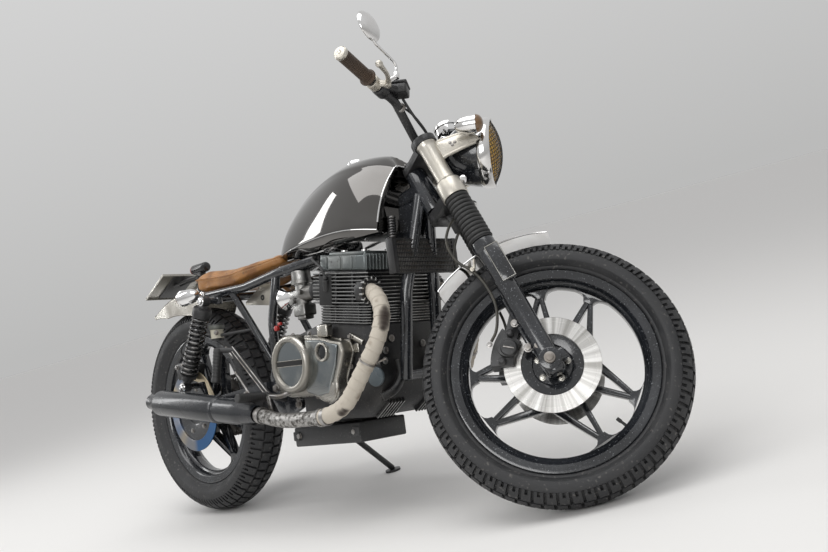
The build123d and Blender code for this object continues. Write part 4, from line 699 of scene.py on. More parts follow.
def towards(at, way):
    """The place of a piece that is turned about Z, standing at a point along way."""
    return Matrix.Translation(Vector(at)) @ Vector(way).to_track_quat("Z", "Y").to_matrix().to_4x4()


cap_place = towards((842, 0, 944), (-0.04, 0, 1))


def turned(profile, steps=48, place=None):
    """A profile of radius and height turned about the Z axis."""
    bm = revolved(profile, lambda r, z: (r, 0, z), (0, 0, 1), steps)
    if place:
        bm.transform(place)
    return bm


cap = turned([(0, 12), (20, 12), (26, 10.5), (28.5, 7), (29, 2), (27, 0), (30, 0), (33, -1), (34, -4),
              (34, -9)], 48, cap_place)


def cube(size, place, soften=1.0):
    """A block with rounded edges."""
    bm = bmesh.new()
    bmesh.ops.create_cube(bm, size=1, matrix=Matrix.Diagonal((*size, 1)))
    softened(bm, bm.edges[:], soften, 3)
    bm.transform(place)
    return bm


def shift(x, y, z):
    """The move of a drawn piece to a point."""
    return Matrix.Translation((x, y, z))


cap = joined(cap, cube((30, 7, 3), cap_place @ shift(0, 0, 13), 1.2))
placed(cap, "filler_cap", CHASSIS, chrome, "chrome", "chassis")


# The fork: gloss black sliders with a dust collar, and rubber gaiters over the tubes.
# Each slider has a flat pad on its outer side, framed by a bright grey steel edge.

FORK_OFFSET = 56.21
STEM_AT = FRONT_AXLE - Vector((math.cos(RAKE), 0, math.sin(RAKE))) * FORK_OFFSET
FORK = FRONT_END @ Matrix.Translation(STEM_AT) @ Matrix((
    (math.cos(RAKE), 0, -math.sin(RAKE)),
    (0, 1, 0),
    (math.sin(RAKE), 0, math.cos(RAKE)),
)).to_4x4()
LEG_Y = 98
LEG = shift(FORK_OFFSET, -LEG_Y, 0)
slider = turned([(0, -33), (19, -33), (23, -29), (24, -24), (24, 70), (24, 232), (23.2, 240), (23.2, 282),
                 (24.4, 290), (24.4, 306), (27, 311), (29, 314), (29.2, 330), (28.4, 335), (25, 338),
                 (17.5, 338.6)], 40, LEG)
boss = bar((FORK_OFFSET, -LEG_Y + 22, 0), (FORK_OFFSET, -LEG_Y - 25, 0), 26, segments=40, soften=2.5)
pinch = cube((30, 34, 26), shift(FORK_OFFSET + 22, -LEG_Y, 0), 5)
pad = cube((36, 14, 102), shift(FORK_OFFSET + 13, -LEG_Y - 19.5, 262), 4)
ribs = [cube((7, 6, 150), shift(FORK_OFFSET - 24, -LEG_Y + 6, 110), 2.5),
        cube((16, 20, 62), shift(FORK_OFFSET - 22, -LEG_Y + 6, 76), 5)]
placed(mirrored(joined(slider, boss, pinch, pad, *ribs)), "fork_sliders", FORK, gloss_black,
       "black_gloss_paint", "steering", "fork_legs")
PAD_FACE = (FORK_OFFSET + 13, -LEG_Y - 26.2, 262)
frame_round_pad = [cube((34, 3, 1.6), shift(0, 0, side * 48), 0.7) for side in (-1, 1)]
frame_round_pad += [cube((1.6, 3, 96), shift(side * 16.2, 0, 0), 0.7) for side in (-1, 1)]
frame_round_pad = joined(*frame_round_pad)
frame_round_pad.transform(Matrix.Translation(PAD_FACE))
grey_steel = finish("grey_steel", (0.40, 0.39, 0.36), (0.30, 0.29, 0.26), (0.25, 0.4), metal=0.7,
                    dust=(0.12, 0.11, 0.1), grain=0.15)
placed(mirrored(frame_round_pad), "slider_pad_edges", FORK, grey_steel, "grey_steel", "steering")
stanchion = turned([(17.4, 337), (17.4, 663), (15, 665), (0, 665)], 32, LEG)
placed(mirrored(stanchion), "stanchions", FORK, chrome, "chrome", "steering")

RIBS = 12
gaiter_line = [Vector((0, 0, 338.5 + number * 135 / (RIBS * 8))) for number in range(RIBS * 8 + 1)]


def gaiter_radius(share):
    """The gaiter's folds, with a plain cuff at each end."""
    fold = abs(math.sin(math.pi * share * RIBS)) ** 0.6
    end = 1 if 0.03 < share < 0.97 else 0
    return 27.0 + 4.4 * fold * end + (1 - end) * 2.0


gaiter = swept(gaiter_line, gaiter_radius, 40)
gaiter.transform(LEG)
placed(mirrored(gaiter), "fork_rubber_gaiters", FORK, black_rubber, "rubber", "steering", "fork_gaiters")


def body_of(node):
    """The body that carries a solid's node."""
    for body, nodes in frame["record"]["behaviour"]["bodies"].items():
        if node in nodes:
            return body


def rounded(node, material, width):
    """A solid's own shape with its flat faces cleared and its sharp edges rounded by width millimetres."""
    bm = bmesh.new()
    bm.from_mesh(frame["nodes"][node].data)
    bmesh.ops.remove_doubles(bm, verts=bm.verts, dist=MM * 0.02)
    bmesh.ops.dissolve_limit(bm, angle_limit=math.radians(1.5), verts=bm.verts, edges=bm.edges)
    edges = [e for e in bm.edges if len(e.link_faces) == 2 and e.calc_face_angle(0) > math.radians(40)]
    softened(bm, edges, width * MM, 2)
    piece = linked(bm, node + "_finished", material, body_of(node))
    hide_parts(node)


satin_black = finish("satin_black", (0.014, 0.014, 0.015), (0.028, 0.028, 0.028), (0.34, 0.5),
                     dust=(0.10, 0.10, 0.10), grain=0.2, grain_scale=500)
rounded("triple_clamps", satin_black, 1.6)
sleeve = turned([(31.2, 473.4), (33, 474), (33.4, 476), (33.4, 516), (31.4, 521), (24.4, 528), (23.2, 540),
                 (23.2, 630), (24.4, 637), (26.6, 640), (27.4, 643), (27.4, 647), (26, 649), (18, 649.4)],
                48, LEG)
beige_alloy = finish("beige_alloy", (0.60, 0.57, 0.51), (0.48, 0.45, 0.39), (0.30, 0.42), metal=0.85,
                     dust=(0.16, 0.14, 0.12), dust_low=0.66, grain=0.15)
placed(mirrored(sleeve), "fork_sleeves", FORK, beige_alloy, "cast_aluminium", "steering")
ear_outline = [(1112, 862), (1104, 884), (1110, 893), (1126, 897), (1190, 915), (1222, 913), (1242, 905),
               (1244, 896), (1236, 888), (1202, 875), (1160, 857), (1146, 848), (1134, 842)]


def plate(outline, thick, soften=1.0, segments=2):
    """A flat plate with an outline of X and Z, standing from Y 0 to thick."""
    bm = bmesh.new()
    face = bm.faces.new([bm.verts.new((x, 0, z)) for x, z in outline])
    grown = bmesh.ops.extrude_face_region(bm, geom=[face])
    moved = [g for g in grown["geom"] if isinstance(g, bmesh.types.BMVert)]
    bmesh.ops.translate(bm, verts=moved, vec=(0, thick, 0))
    bmesh.ops.recalc_face_normals(bm, faces=bm.faces)
    if soften:
        softened(bm, [e for e in bm.edges if e.calc_face_angle(0) > 0.4], soften, segments)
    return bm


ear = plate(ear_outline, 4, 1.2)
ear.transform(shift(0, -102, 0))
fold_line = [Vector((x, -98, z)) for x, z in ((1136, 843), (1148, 849), (1161, 858), (1203, 876),
                                              (1236, 889))]


def evened(line, step):
    """The same line in equal steps."""
    lengths = [0.0]
    for a, b in zip(line, line[1:]):
        lengths.append(lengths[-1] + (b - a).length)
    count = max(2, round(lengths[-1] / step))
    out = []
    at = 0
    for number in range(count + 1):
        want = lengths[-1] * number / count
        while at < len(line) - 2 and lengths[at + 1] < want:
            at += 1
        span = lengths[at + 1] - lengths[at]
        out.append(line[at].lerp(line[at + 1], 0 if span == 0 else (want - lengths[at]) / span))
    return out


hem = swept(evened(fold_line, 6), 4.6, 10)
ear_bolts = [hexagon((x, -102, z), RIGHT, 6, 3) for x, z in ((1172, 892), (1178, 885), (1184, 892))]
ear_top = plate([(1106, 884), (1112, 895), (1190, 917), (1222, 915), (1222, 911), (1190, 911), (1114, 889)],
                12, 1.5)
ear_top.transform(shift(0, -103, 0))
placed(mirrored(joined(ear, hem, ear_top)), "headlamp_plates", FRONT_END, beige_alloy, "cast_aluminium",
       "steering", "headlamp_ears")
placed(mirrored(joined(*ear_bolts)), "headlamp_plate_screws", FRONT_END, steel, "steel", "steering")
ear_knob = turned([(0, 12), (7, 11), (9, 8), (9, 2), (6, 0), (6, -8)], 24, towards((1200, -74, 800), RIGHT))
placed(mirrored(ear_knob), "lamp_lower_bolts", FRONT_END, chrome, "chrome", "steering")

# The headlamp: a spun black bucket with a wide chrome ring, and an amber glass behind
# a curved wire mesh.


def pitched(degrees):
    """A turn about the Y axis that takes the front end down."""
    return Matrix.Rotation(math.radians(degrees), 4, "Y")


lamp_place = FRONT_END @ shift(0, 0, 905) @ pitched(90)
bucket = turned([(0, 1134), (24, 1135), (40, 1142), (58, 1156), (71, 1176), (80, 1200), (85, 1224),
                 (87, 1240), (83, 1242)], 72)
placed(bucket, "headlamp_bucket", lamp_place, gloss_black, "black_gloss_paint", "steering", "headlamp")
ring = turned([(84, 1234), (88, 1234.6), (90.5, 1238), (92, 1244), (92.8, 1251), (92.4, 1258), (90.4, 1264),
               (88, 1267.4), (86, 1268), (84.6, 1266), (84, 1256)], 96)
placed(ring, "headlamp_ring", lamp_place, chrome, "chrome", "steering")
amber = finish("amber_glass", (0.58, 0.33, 0.03), (0.42, 0.21, 0.016), (0.08, 0.2), scale=22, coat=0.8)
GLASS_R = 84.8
GLASS_EDGE, GLASS_BULGE = 1263, 26
GLASS_SPHERE = (GLASS_R ** 2 + GLASS_BULGE ** 2) / (2 * GLASS_BULGE)


def glass_height(radius):
    """How far ahead the bulged glass stands at a radius."""
    return GLASS_EDGE - GLASS_SPHERE + GLASS_BULGE + math.sqrt(GLASS_SPHERE ** 2 - radius ** 2)


glass = turned([(GLASS_R * share / 12, glass_height(GLASS_R * share / 12) - 1.6) for share in range(13)], 72)
placed(glass, "headlamp_glass", lamp_place, amber, "amber_glass", "steering", "headlamp_lens")
wires = []
for number in range(-9, 10):
    offset = number * 9.2
    reach = math.sqrt(GLASS_R ** 2 - offset ** 2) - 0.5
    for cross in (False, True):
        line = []
        for step in range(15):
            along = reach * (step / 7 - 1)
            here = (along, offset) if cross else (offset, along)
            line.append(Vector((*here, glass_height(math.hypot(*here)))))
        wires.append(swept(line, 0.75, 5))
turn_mesh = Matrix.Rotation(math.radians(45), 4, "Z")
placed(joined(*wires), "headlamp_mesh", lamp_place @ turn_mesh, satin_black, "steel", "steering")

# Front indicators: chrome domes with a smoked amber lens in front, each screwed to its
# headlamp plate on a short stalk.
smoked_amber = finish("smoked_amber", (0.20, 0.10, 0.03), (0.13, 0.065, 0.02), (0.1, 0.25), coat=0.8)


def blinker(at, way, radius, length):
    """A bullet-shaped shell and its lens, the lens towards way."""
    place = towards(at, way)
    shell = turned([(0, -length * 0.62), (radius * 0.38, -length * 0.6), (radius * 0.7, -length * 0.48),
                    (radius * 0.9, -length * 0.3), (radius * 0.98, -length * 0.1), (radius, 0),
                    (radius, length * 0.2), (radius * 1.06, length * 0.21), (radius * 1.06, length * 0.27),
                    (radius * 0.98, length * 0.28)], 40, place)
    lens = turned([(radius * 0.98, length * 0.26), (radius * 0.94, length * 0.34),
                   (radius * 0.82, length * 0.43), (radius * 0.58, length * 0.50),
                   (radius * 0.3, length * 0.54), (0, length * 0.55)], 40, place)
    return shell, lens


shell, lens = blinker((1227, -129, 922), (1, 0, 0.02), 24, 62)
stalk = bar((1216, -100, 922), (1216, -118, 922), 7, soften=1)
foot = bar((1216, -100, 908), (1216, -100, 926), 7, soften=1)
placed(mirrored(joined(shell, stalk, foot)), "front_blinker_shells", FRONT_END, chrome, "chrome", "steering",
       "front_indicators")
placed(mirrored(lens), "front_blinker_lenses", FRONT_END, smoked_amber, "amber_glass", "steering")

# The speedometer: a spun chrome cup with a black face under glass, on a round bracket
# from the top clamp.
dial_place = towards((1150, 0, 964), (-0.30, 0, 0.954))
cup = turned([(0, 0), (14, 0), (24, 1.6), (29, 6), (30, 12), (30, 22), (31.5, 22.6), (33, 24), (33, 31),
              (32, 33), (29.5, 33.4), (28.8, 31)], 56, dial_place)
placed(joined(cup, bar((1101, 0, 911), (1148, 0, 967), 7, soften=1)), "speedometer_cup", FRONT_END, chrome,
       "chrome", "steering", "speedometer")
dial_glass = finish("dial_glass", (0.01, 0.01, 0.012), (0.014, 0.014, 0.016), (0.03, 0.06), coat=1.0)
placed(turned([(0, 32), (20, 32), (29, 31)], 40, dial_place), "speedometer_glass", FRONT_END, dial_glass,
       "black_plastic", "steering")


# The engine block: cylinders and head painted black, with the edges of the fins cut
# bright. The head's fins are wide, the cylinders' fins below them are narrower.

CYLINDERS = CHASSIS @ shift(849, 0, 505) @ pitched(9)


def fin(half_x, half_y, corner, level, thick):
    """One flat cooling fin with cut corners."""
    cut_x, cut_y = half_x - corner, half_y - corner
    outline = [(cut_x, half_y), (half_x, cut_y), (half_x, -cut_y), (cut_x, -half_y),
               (-cut_x, -half_y), (-half_x, -cut_y), (-half_x, cut_y), (-cut_x, half_y)]
    bm = plate(outline, thick, 0)
    bm.transform(shift(0, 0, level) @ Matrix.Rotation(math.radians(-90), 4, "X"))
    bmesh.ops.recalc_face_normals(bm, faces=bm.faces)
    return bm


HEAD_LEVELS = [58 + 9.6 * number for number in range(9)]
BARREL_LEVELS = [5 + 7.2 * number for number in range(7)]
block = [cube((172, 246, 142), shift(0, 0, 71), 3)]
FINS_BACK = shift(-3.5, 0, 0)
edges_cut = []
for level in HEAD_LEVELS:
    head_fin, bright_edge = fin(108.4, 149.4, 16, level, 3.0), fin(109, 150, 16, level + 0.8, 1.5)
    head_fin.transform(FINS_BACK)
    bright_edge.transform(FINS_BACK)
    block.append(head_fin)
    edges_cut.append(bright_edge)
for level in BARREL_LEVELS:
    block.append(fin(97.5, 131.5, 12, level, 2.6))
    edges_cut.append(fin(98, 132, 12, level + 0.7, 1.3))
for side in (-1, 1):
    for x in (-72, -8, 58):
        block.append(cube((6, 12, 82), shift(x, side * 141, 97), 2))
    for x in (-52, -30, 62):
        block.append(cube((5, 10, 48), shift(x, side * 125, 30), 1.5))
    block.append(bar((76, side * 122, 88), (104, side * 122, 88), 36, segments=48, soften=2))
engine_black = finish("engine_black", (0.008, 0.008, 0.009), (0.020, 0.019, 0.018), (0.3, 0.5),
                      dust=(0.13, 0.125, 0.115), dust_low=0.64, grain=0.3, grain_scale=450)
placed(joined(*block), "finned_cylinders", CYLINDERS, engine_black, "black_engine_paint", "chassis",
       "cylinders")
cut_alloy = finish("cut_alloy", (0.46, 0.46, 0.45), (0.30, 0.30, 0.29), (0.25, 0.4), scale=30, metal=1.0)
placed(joined(*edges_cut), "fin_edges", CYLINDERS, cut_alloy, "cast_aluminium", "chassis")
collar_studs = []
for side in (-1, 1):
    for number in range(14):
        place = shift(102, side * 122, 88) @ Matrix.Rotation(2 * math.pi * number / 14, 4, "X")
        collar_studs.append(cube((12, 5, 8), place @ shift(0, 0, 33), 1.5))
placed(joined(*collar_studs), "port_collar_fins", CYLINDERS, cut_alloy, "cast_aluminium", "chassis")

# The plug leads: a rubber cap over each spark plug in its well between the fins, and a
# thick lead from it up and back under the tank.
plug_cap = [bar((-42, -148, 88), (-36, -156, 118), 8.5, segments=24, soften=2),
            bar((-36, -156, 118), (-38, -156, 128), 6, segments=20, soften=1.5)]
LEAD_POINTS = [(-38, -156, 124), (-52, -158, 152), (-92, -148, 168), (-122, -132, 176), (-150, -96, 182)]


def route(points, bend, pieces=6):
    """Straight runs with their corners rounded off over a length of bend."""
    points = [Vector(p) for p in points]
    line = [points[0]]
    for before, corner, after in zip(points, points[1:], points[2:]):
        back = min(bend, (before - corner).length * 0.48)
        on = min(bend, (after - corner).length * 0.48)
        start = corner + (before - corner).normalized() * back
        end = corner + (after - corner).normalized() * on
        for number in range(pieces + 1):
            share = number / pieces
            line.append((1 - share) ** 2 * start + 2 * share * (1 - share) * corner + share ** 2 * end)
    line.append(points[-1])
    return line


lead_line = evened(route(LEAD_POINTS, 28), 4)
plug_and_lead = joined(*plug_cap, swept(lead_line, 3.4, 12))
placed(mirrored(plug_and_lead), "plug_caps_and_leads", CYLINDERS, black_rubber, "rubber", "chassis")
# These deep black slabs between the head fins beside each plug are painted shade in the plug wells.
plug_well_painted_shade = [cube((51, 8, 78), shift(-45, side * 147, 89), 2) for side in (-1, 1)]
deep_black = finish("deep_black", (0.003, 0.003, 0.003), (0.006, 0.006, 0.006), (0.6, 0.8))
placed(joined(*plug_well_painted_shade), "plug_well_painted_shade", CYLINDERS, deep_black, "black_engine_paint", "chassis")

# The head cover: grey cast alloy with raised pads along its sides and upright fins
# across its front, held down by capped bolts on top.
cover = [cube((176, 258, 40), shift(0, 0, 162), 6), cube((146, 226, 12), shift(0, 0, 186), 5)]
for side in (-1, 1):
    for x, wide in ((-73, 26), (-30, 48), (24, 34)):
        cover.append(cube((wide, 8, 34), shift(x, side * 128.5, 162), 3))
    for number in range(7):
        cover.append(cube((12, 3.4, 42), shift(86, side * (124 - number * 12), 163), 1.2))
        cover.append(cube((12, 3.4, 42), shift(-86, side * (124 - number * 12), 163), 1.2))
grey_alloy = finish("grey_alloy", (0.13, 0.145, 0.145), (0.20, 0.21, 0.205), (0.26, 0.42), metal=0.6,
                    dust=(0.08, 0.08, 0.08), dust_low=0.62, dust_scale=90, grain=0.25)
placed(joined(*cover), "ribbed_head_cover", CYLINDERS, grey_alloy, "grey_cover", "chassis", "head_cover")
caps = [bar((x, y, 186), (x, y, 197), 8, segments=24, soften=1.5) for x in (-40, 40) for y in (-84, 0, 84)]
placed(joined(*caps), "cover_bolt_caps", CYLINDERS, chrome, "chrome", "chassis")

# The crankcase: black cast alloy in the solid's own shape, with a ribbed sump, a round
# plug at its front right, screws, bolts, two ducts and bare cast bosses.
rounded("crankcase", engine_black, 3.0)
SUMP_FACE = shift(925, 0, 275) @ pitched(-34)
case_trim = [cube((66, 3.4, 15), SUMP_FACE @ shift(0, side * (44 + number * 11), 0), 1.2)
             for side in (-1, 1) for number in range(6)]
for x, z, y in ((900, 329, 112), (919, 313, 111), (920, 291, 111)):
    for side in (-1, 1):
        case_trim.append(cube((24, 10, 14), shift(x, side * y, z) @ pitched(12), 3))
placed(joined(*case_trim), "sump_ribs", CHASSIS, engine_black, "black_engine_paint", "chassis")
# The pale strips on the rib crests are painted highlights on the black ribs.
rib_crest_painted_highlights = [cube((62, 2.0, 1.6), SUMP_FACE @ shift(0, side * (44 + number * 11), -7.4), 0.6)
              for side in (-1, 1) for number in range(6)]
placed(joined(*rib_crest_painted_highlights), "sump_rib_painted_highlights", CHASSIS, cut_alloy, "cast_aluminium", "chassis")
case_steel = []
SCREW = [(9, 0), (9.6, 1), (9.6, 3), (8, 4), (5.6, 4), (5, 2.4), (0, 2.4)]
AHEAD = (1, 0, 0)
for x, y, z in ((965, -106, 394), (963, -72, 450), (965, -100, 420), (964, -30, 400), (963, 40, 430),
                (963, 84, 380)):
    case_steel.append(turned(SCREW, 24, towards((x, y, z), AHEAD)))
for x, z in ((892, 366), (902, 414), (915, 452), (786, 512), (846, 505), (760, 300), (846, 276)):
    for side in (-1, 1):
        case_steel.append(hexagon((x, side * 112, z), (0, side, 0), 10, 5))
case_steel.append(bar((900, -117, 330), (892, -117, 284), 2.4, segments=12))
placed(joined(*case_steel), "case_bolts", CHASSIS, steel, "steel", "chassis")
DUCT_POINTS = [(962, -58, 392), (974, -60, 350), (972, -92, 316), (955, -122, 303)]
case_duct = swept(evened(route(DUCT_POINTS, 34, 8), 5), 12, 20)
placed(mirrored(case_duct), "case_ducts", CHASSIS, engine_black, "black_engine_paint", "chassis")
case_pale = [cube((42, 24, 34), shift(786, -142, 497) @ pitched(4), 5),
             bar((866, -124, 474), (914, -124, 448), 8, segments=24, soften=2),
             cube((20, 12, 24), shift(885, -122, 438), 3),
             cube((9, 14, 52), shift(848, -137, 444) @ pitched(-8), 2.5)]
placed(joined(*case_pale), "case_bosses", CHASSIS, cast_alloy, "cast_aluminium", "chassis")
plug_place = towards((946, -122, 357), (0.15, -1, 0))
plug = turned([(24, 0), (25, 2), (25, 8), (23.5, 10), (12, 11.5), (0, 12)], 48, plug_place)
plug_paint = finish("plug_paint", (0.115, 0.14, 0.155), (0.09, 0.11, 0.12), (0.25, 0.4))
placed(plug, "front_plug", CHASSIS, plug_paint, "black_engine_paint", "chassis")

# Side covers: satin aluminium castings with rolled edges, bolted round the rim. The
# right one carries a large blank cap with a slot across it and a round oil window.
COVER_OUTLINE = [(573, 396), (567, 431), (584, 458), (612, 482), (647, 495), (732, 489), (785, 480),
                 (830, 467), (868, 460), (879, 432), (858, 394), (840, 364), (842, 339), (828, 313),
                 (800, 301), (772, 311), (736, 331), (646, 331), (596, 342), (577, 368)]
right_cover = plate(COVER_OUTLINE, 46, 9, 4)
right_cover.transform(shift(0, -169, 0))
rim = plate([(722 + (x - 722) * 1.02, 398 + (z - 398) * 1.035) for x, z in COVER_OUTLINE], 10, 2)
rim.transform(shift(0, -134, 0))
raised = plate([(690, 484), (790, 474), (838, 460), (866, 452), (850, 402), (826, 360), (812, 330),
                (770, 326), (720, 340)], 12, 5, 3)
raised.transform(shift(0, -176, 0))
CAP_AT = (681, -168, 422)
cap_rim = turned([(79, -10), (79, 14), (78, 22), (75, 27), (71, 29.6), (66, 30), (62, 28.5), (59.5, 24.5),
                  (58.5, 21)], 96, towards(CAP_AT, RIGHT))
cap_face = turned([(59, 21.4), (30, 23), (0, 23.4)], 72, towards(CAP_AT, RIGHT))
SLOT_TURN = pitched(2)
slot_lips = [cube((112, 3, 2), shift(681, -191.6, 424 + side * 7.6) @ SLOT_TURN, 0.8)
             for side in (-1, 1)]
window_place = towards((806, -172, 440), RIGHT)
window = turned([(25, -2), (26, 6), (25, 9.5), (22.5, 11), (20, 10), (18.6, 7), (18, 3)], 48, window_place)
lobe = turned([(33, -40), (33, 0), (30, 5), (20, 8), (0, 9)], 48, towards((801, -166, 338), RIGHT))
left_cover = plate(COVER_OUTLINE, 26, 7, 3)
left_cover.transform(shift(0, 122, 0))
LEFT = (0, 1, 0)
left_round = turned([(75, -20), (75, 18), (73, 25), (66, 29), (50, 31), (0, 32)], 72,
                    towards((800, 146, 400), LEFT))
covers = joined(right_cover, rim, cap_rim, *slot_lips, window, lobe, left_cover, left_round)
placed(covers, "cast_engine_covers", CHASSIS, cast_alloy, "cast_aluminium", "chassis", "engine_covers")
worn_alloy = finish("worn_alloy", (0.20, 0.22, 0.23), (0.29, 0.30, 0.295), (0.13, 0.26), scale=16, metal=1.0,
                    dust=(0.10, 0.09, 0.08), dust_low=0.66, dust_scale=90, grain=0.08, grain_scale=350)
placed(joined(raised, cap_face), "cover_flats", CHASSIS, worn_alloy, "cast_aluminium", "chassis")
slot_floor = cube((108, 1.4, 14), shift(681, -191.7, 424) @ SLOT_TURN, 0.4)
placed(slot_floor, "cap_slot", CHASSIS, deep_black, "black_engine_paint", "chassis")
dark_glass = finish("dark_glass", (0.003, 0.004, 0.006), (0.008, 0.01, 0.012), (0.12, 0.2))
window_glass = turned([(18.4, 4), (10, 5.5), (0, 6)], 32, window_place)
placed(window_glass, "oil_window", CHASSIS, dark_glass, "black_plastic", "chassis")
cover_bolts = []
for x, z in ((584, 466), (640, 503), (712, 499), (776, 489), (876, 470), (866, 392), (850, 330), (786, 294),
             (716, 326), (630, 324), (570, 366)):
    cover_bolts.append(hexagon((x, -134, z), RIGHT, 9, 6))
    cover_bolts.append(hexagon((x, 130, z), LEFT, 9, 6))
placed(joined(*cover_bolts), "cover_bolts", CHASSIS, steel, "steel", "chassis")

# Carburettors: cast bodies with bright slide caps and open chrome bell mouths, one for
# each cylinder, joined by a rod, with rubber stubs to the head.
CARB = (640, -82, 616)
bell = turned([(19, -92), (25, -91), (31, -87), (33.5, -82), (34, -77), (31, -72), (26, -64), (23, -52),
               (22, -34)], 56, towards(CARB, AHEAD))
bell_in = turned([(20, -91), (18, -80), (16, -60), (0, -58)], 40, towards(CARB, AHEAD))
placed(mirrored(joined(bell, bell_in)), "bell_mouths", CHASSIS, chrome, "chrome", "chassis")
carb = [bar((604, -82, 616), (700, -82, 616), 23, segments=36, soften=2),
        bar((640, -82, 576), (640, -82, 662), 21, segments=36, soften=1),
        turned([(0, 50), (26, 49), (28, 46), (28, 22), (30, 21), (30, 12), (24, 11), (22, 8)], 48,
               shift(640, -82, 634)),
        cube((50, 46, 34), shift(640, -82, 572), 5),
        cube((36, 34, 14), shift(640, -82, 552), 4),
        bar((618, -108, 598), (618, -112, 598), 9, segments=20, soften=1),
        bar((662, -104, 620), (662, -116, 620), 7, segments=20, soften=1),
        bar((640, -82, 616), (640, 0, 616), 8, segments=16, soften=0)]
carburettor_alloy = finish("carburettor_alloy", (0.34, 0.34, 0.33), (0.21, 0.205, 0.195), (0.26, 0.42),
                           scale=22, metal=1.0, dust=(0.12, 0.10, 0.08), dust_low=0.62, grain=0.3)
placed(mirrored(joined(*carb)), "carburettor_bodies", CHASSIS, carburettor_alloy, "cast_aluminium",
       "chassis", "carburettors")
stub = turned([(25, 0), (27, 2), (27, 9), (25, 11), (25, 42), (27, 44), (27, 52), (24, 54)], 40,
              towards((698, -82, 616), AHEAD))
placed(mirrored(stub), "inlet_stubs", CHASSIS, black_rubber, "rubber", "chassis")

# Exhaust: headers in turns of off-white heat wrap, dirty and scorched in places, then
# bare stained pipe to the satin black silencers with their cone ends.
wrap_cloth = bpy.data.materials.new("heat_wrap")
wrap_cloth.use_nodes = True
wrap_tree = wrap_cloth.node_tree
wrap_tint = blend(wrap_tree, mottled(wrap_tree, 26, 0.54, 0.82), (0.50, 0.455, 0.385, 1),
                  (0.23, 0.185, 0.14, 1))
wrap_burns = added(wrap_tree, "Attribute", {}, attribute_name="scorch").outputs["Fac"]
wrap_tint = blend(wrap_tree, wrap_burns, wrap_tint, (0.035, 0.025, 0.02, 1))
fill(wrap_tree, wrap_tree.nodes["Principled BSDF"], {"Roughness": 0.85, "Base Color": wrap_tint})
bumped(wrap_tree, mottled(wrap_tree, 420, 0.3, 0.7), 0.5, 0.001)

HEADER_POINTS = [(940, -121, 578), (962, -122, 575), (986, -128, 565), (1014, -142, 538), (1026, -152, 508),
                 (1028, -162, 482), (1023, -173, 452), (1011, -183, 423), (991, -190, 395),
                 (967, -197, 363), (943, -202, 332), (918, -205, 305), (884, -206, 286), (842, -206, 276),
                 (800, -206, 272)]
HEADER_STEP = 2.6
header_line = evened(route(HEADER_POINTS, 26), HEADER_STEP)
header_length = HEADER_STEP * (len(header_line) - 1)
TURN_LENGTH = 27.0


def wrap_radius(share):
    """Each turn of the wrap rises over the one before it."""
    turn = (share * header_length / TURN_LENGTH) % 1.0
    return 19.4 + 2.6 * turn ** 0.7


wrap = swept(header_line, wrap_radius, 28)
burnt_at = [(Vector((1047, -156, 520)), 15), (Vector((1047, -160, 508)), 20),
            (Vector((1048, -164, 496)), 21), (Vector((1047, -168, 484)), 18),
            (Vector((1045, -172, 474)), 13), (Vector((902, -216, 278)), 15), (Vector((912, -214, 284)), 13)]
scorch = wrap.verts.layers.float.new("scorch")
for v in wrap.verts:
    v[scorch] = max(max(0.0, 1 - ((v.co - at).length / reach) ** 3) for at, reach in burnt_at)
placed(mirrored(wrap), "header_wrap", CHASSIS, wrap_cloth, "exhaust_wrap", "chassis", "exhaust_headers")
stained_steel = finish("stained_steel", (0.40, 0.39, 0.375), (0.075, 0.07, 0.062), (0.34, 0.5), scale=105,
                       metal=0.9, grain=1.0, grain_scale=130)
lower_line = evened(route([(806, -206, 272), (640, -206, 272), (532, -206, 299)], 70, 8), 4)
pipe_collar = turned([(20, 0), (24, 1), (24.5, 6), (24, 12), (20, 13)], 40,
                     towards((800, -206, 272), AHEAD))
lower = joined(swept(lower_line, 20, 28), pipe_collar)
placed(mirrored(lower), "lower_pipes", CHASSIS, stained_steel, "steel", "chassis")
clamp_parts = []
for at, way in (((548, -206, 295), (-0.97, 0, 0.24)), ((991, -190, 395), (0.58, 0.18, 0.79)),
                ((828, -206, 273), AHEAD)):
    wide = 2.6 if at[2] > 300 else 7
    clamp_parts.append(turned([(22, -wide), (23.4, -wide + 0.5), (23.4, wide - 0.5), (22, wide)], 36,
                              towards(at, way)))
clamp_parts.append(cube((10, 12, 7), shift(1009, -176, 389), 2))
clamp_parts.append(bar((1008, -176, 390), (1034, -166, 397), 2.6, segments=12))
placed(mirrored(joined(*clamp_parts)), "exhaust_clamps", CHASSIS, steel, "steel", "chassis")
SILENCER_PLACE = towards((530, -206, 300), (-0.9905, 0, 0.1375))
silencer = turned([(20, 2), (24, 0), (25.5, 6), (26, 16), (33.5, 60), (36, 76), (36.8, 90), (37, 176),
                   (39, 178.6), (40, 182), (40, 498), (38.8, 505), (36, 510), (27, 531), (24.6, 534),
                   (24, 536), (24, 564), (23, 565), (21, 565), (21, 526), (0, 526)], 64, SILENCER_PLACE)
seam = turned([(40, 183), (40.8, 184), (40.8, 190), (40, 191)], 64, SILENCER_PLACE)
silencer_black = finish("silencer_black", (0.011, 0.013, 0.016), (0.02, 0.021, 0.024), (0.2, 0.32), scale=7,
                        coat=0.15, dust=(0.07, 0.065, 0.06), dust_low=0.66, grain=0.1)
placed(mirrored(joined(silencer, seam)), "silencers", CHASSIS, silencer_black, "black_satin_paint",
       "chassis", "mufflers")


# Frame, rails and swing arm: welded steel tube and plate in gloss black, with fine
# specks of dust. They keep the solids' own shapes, with rounded edges.

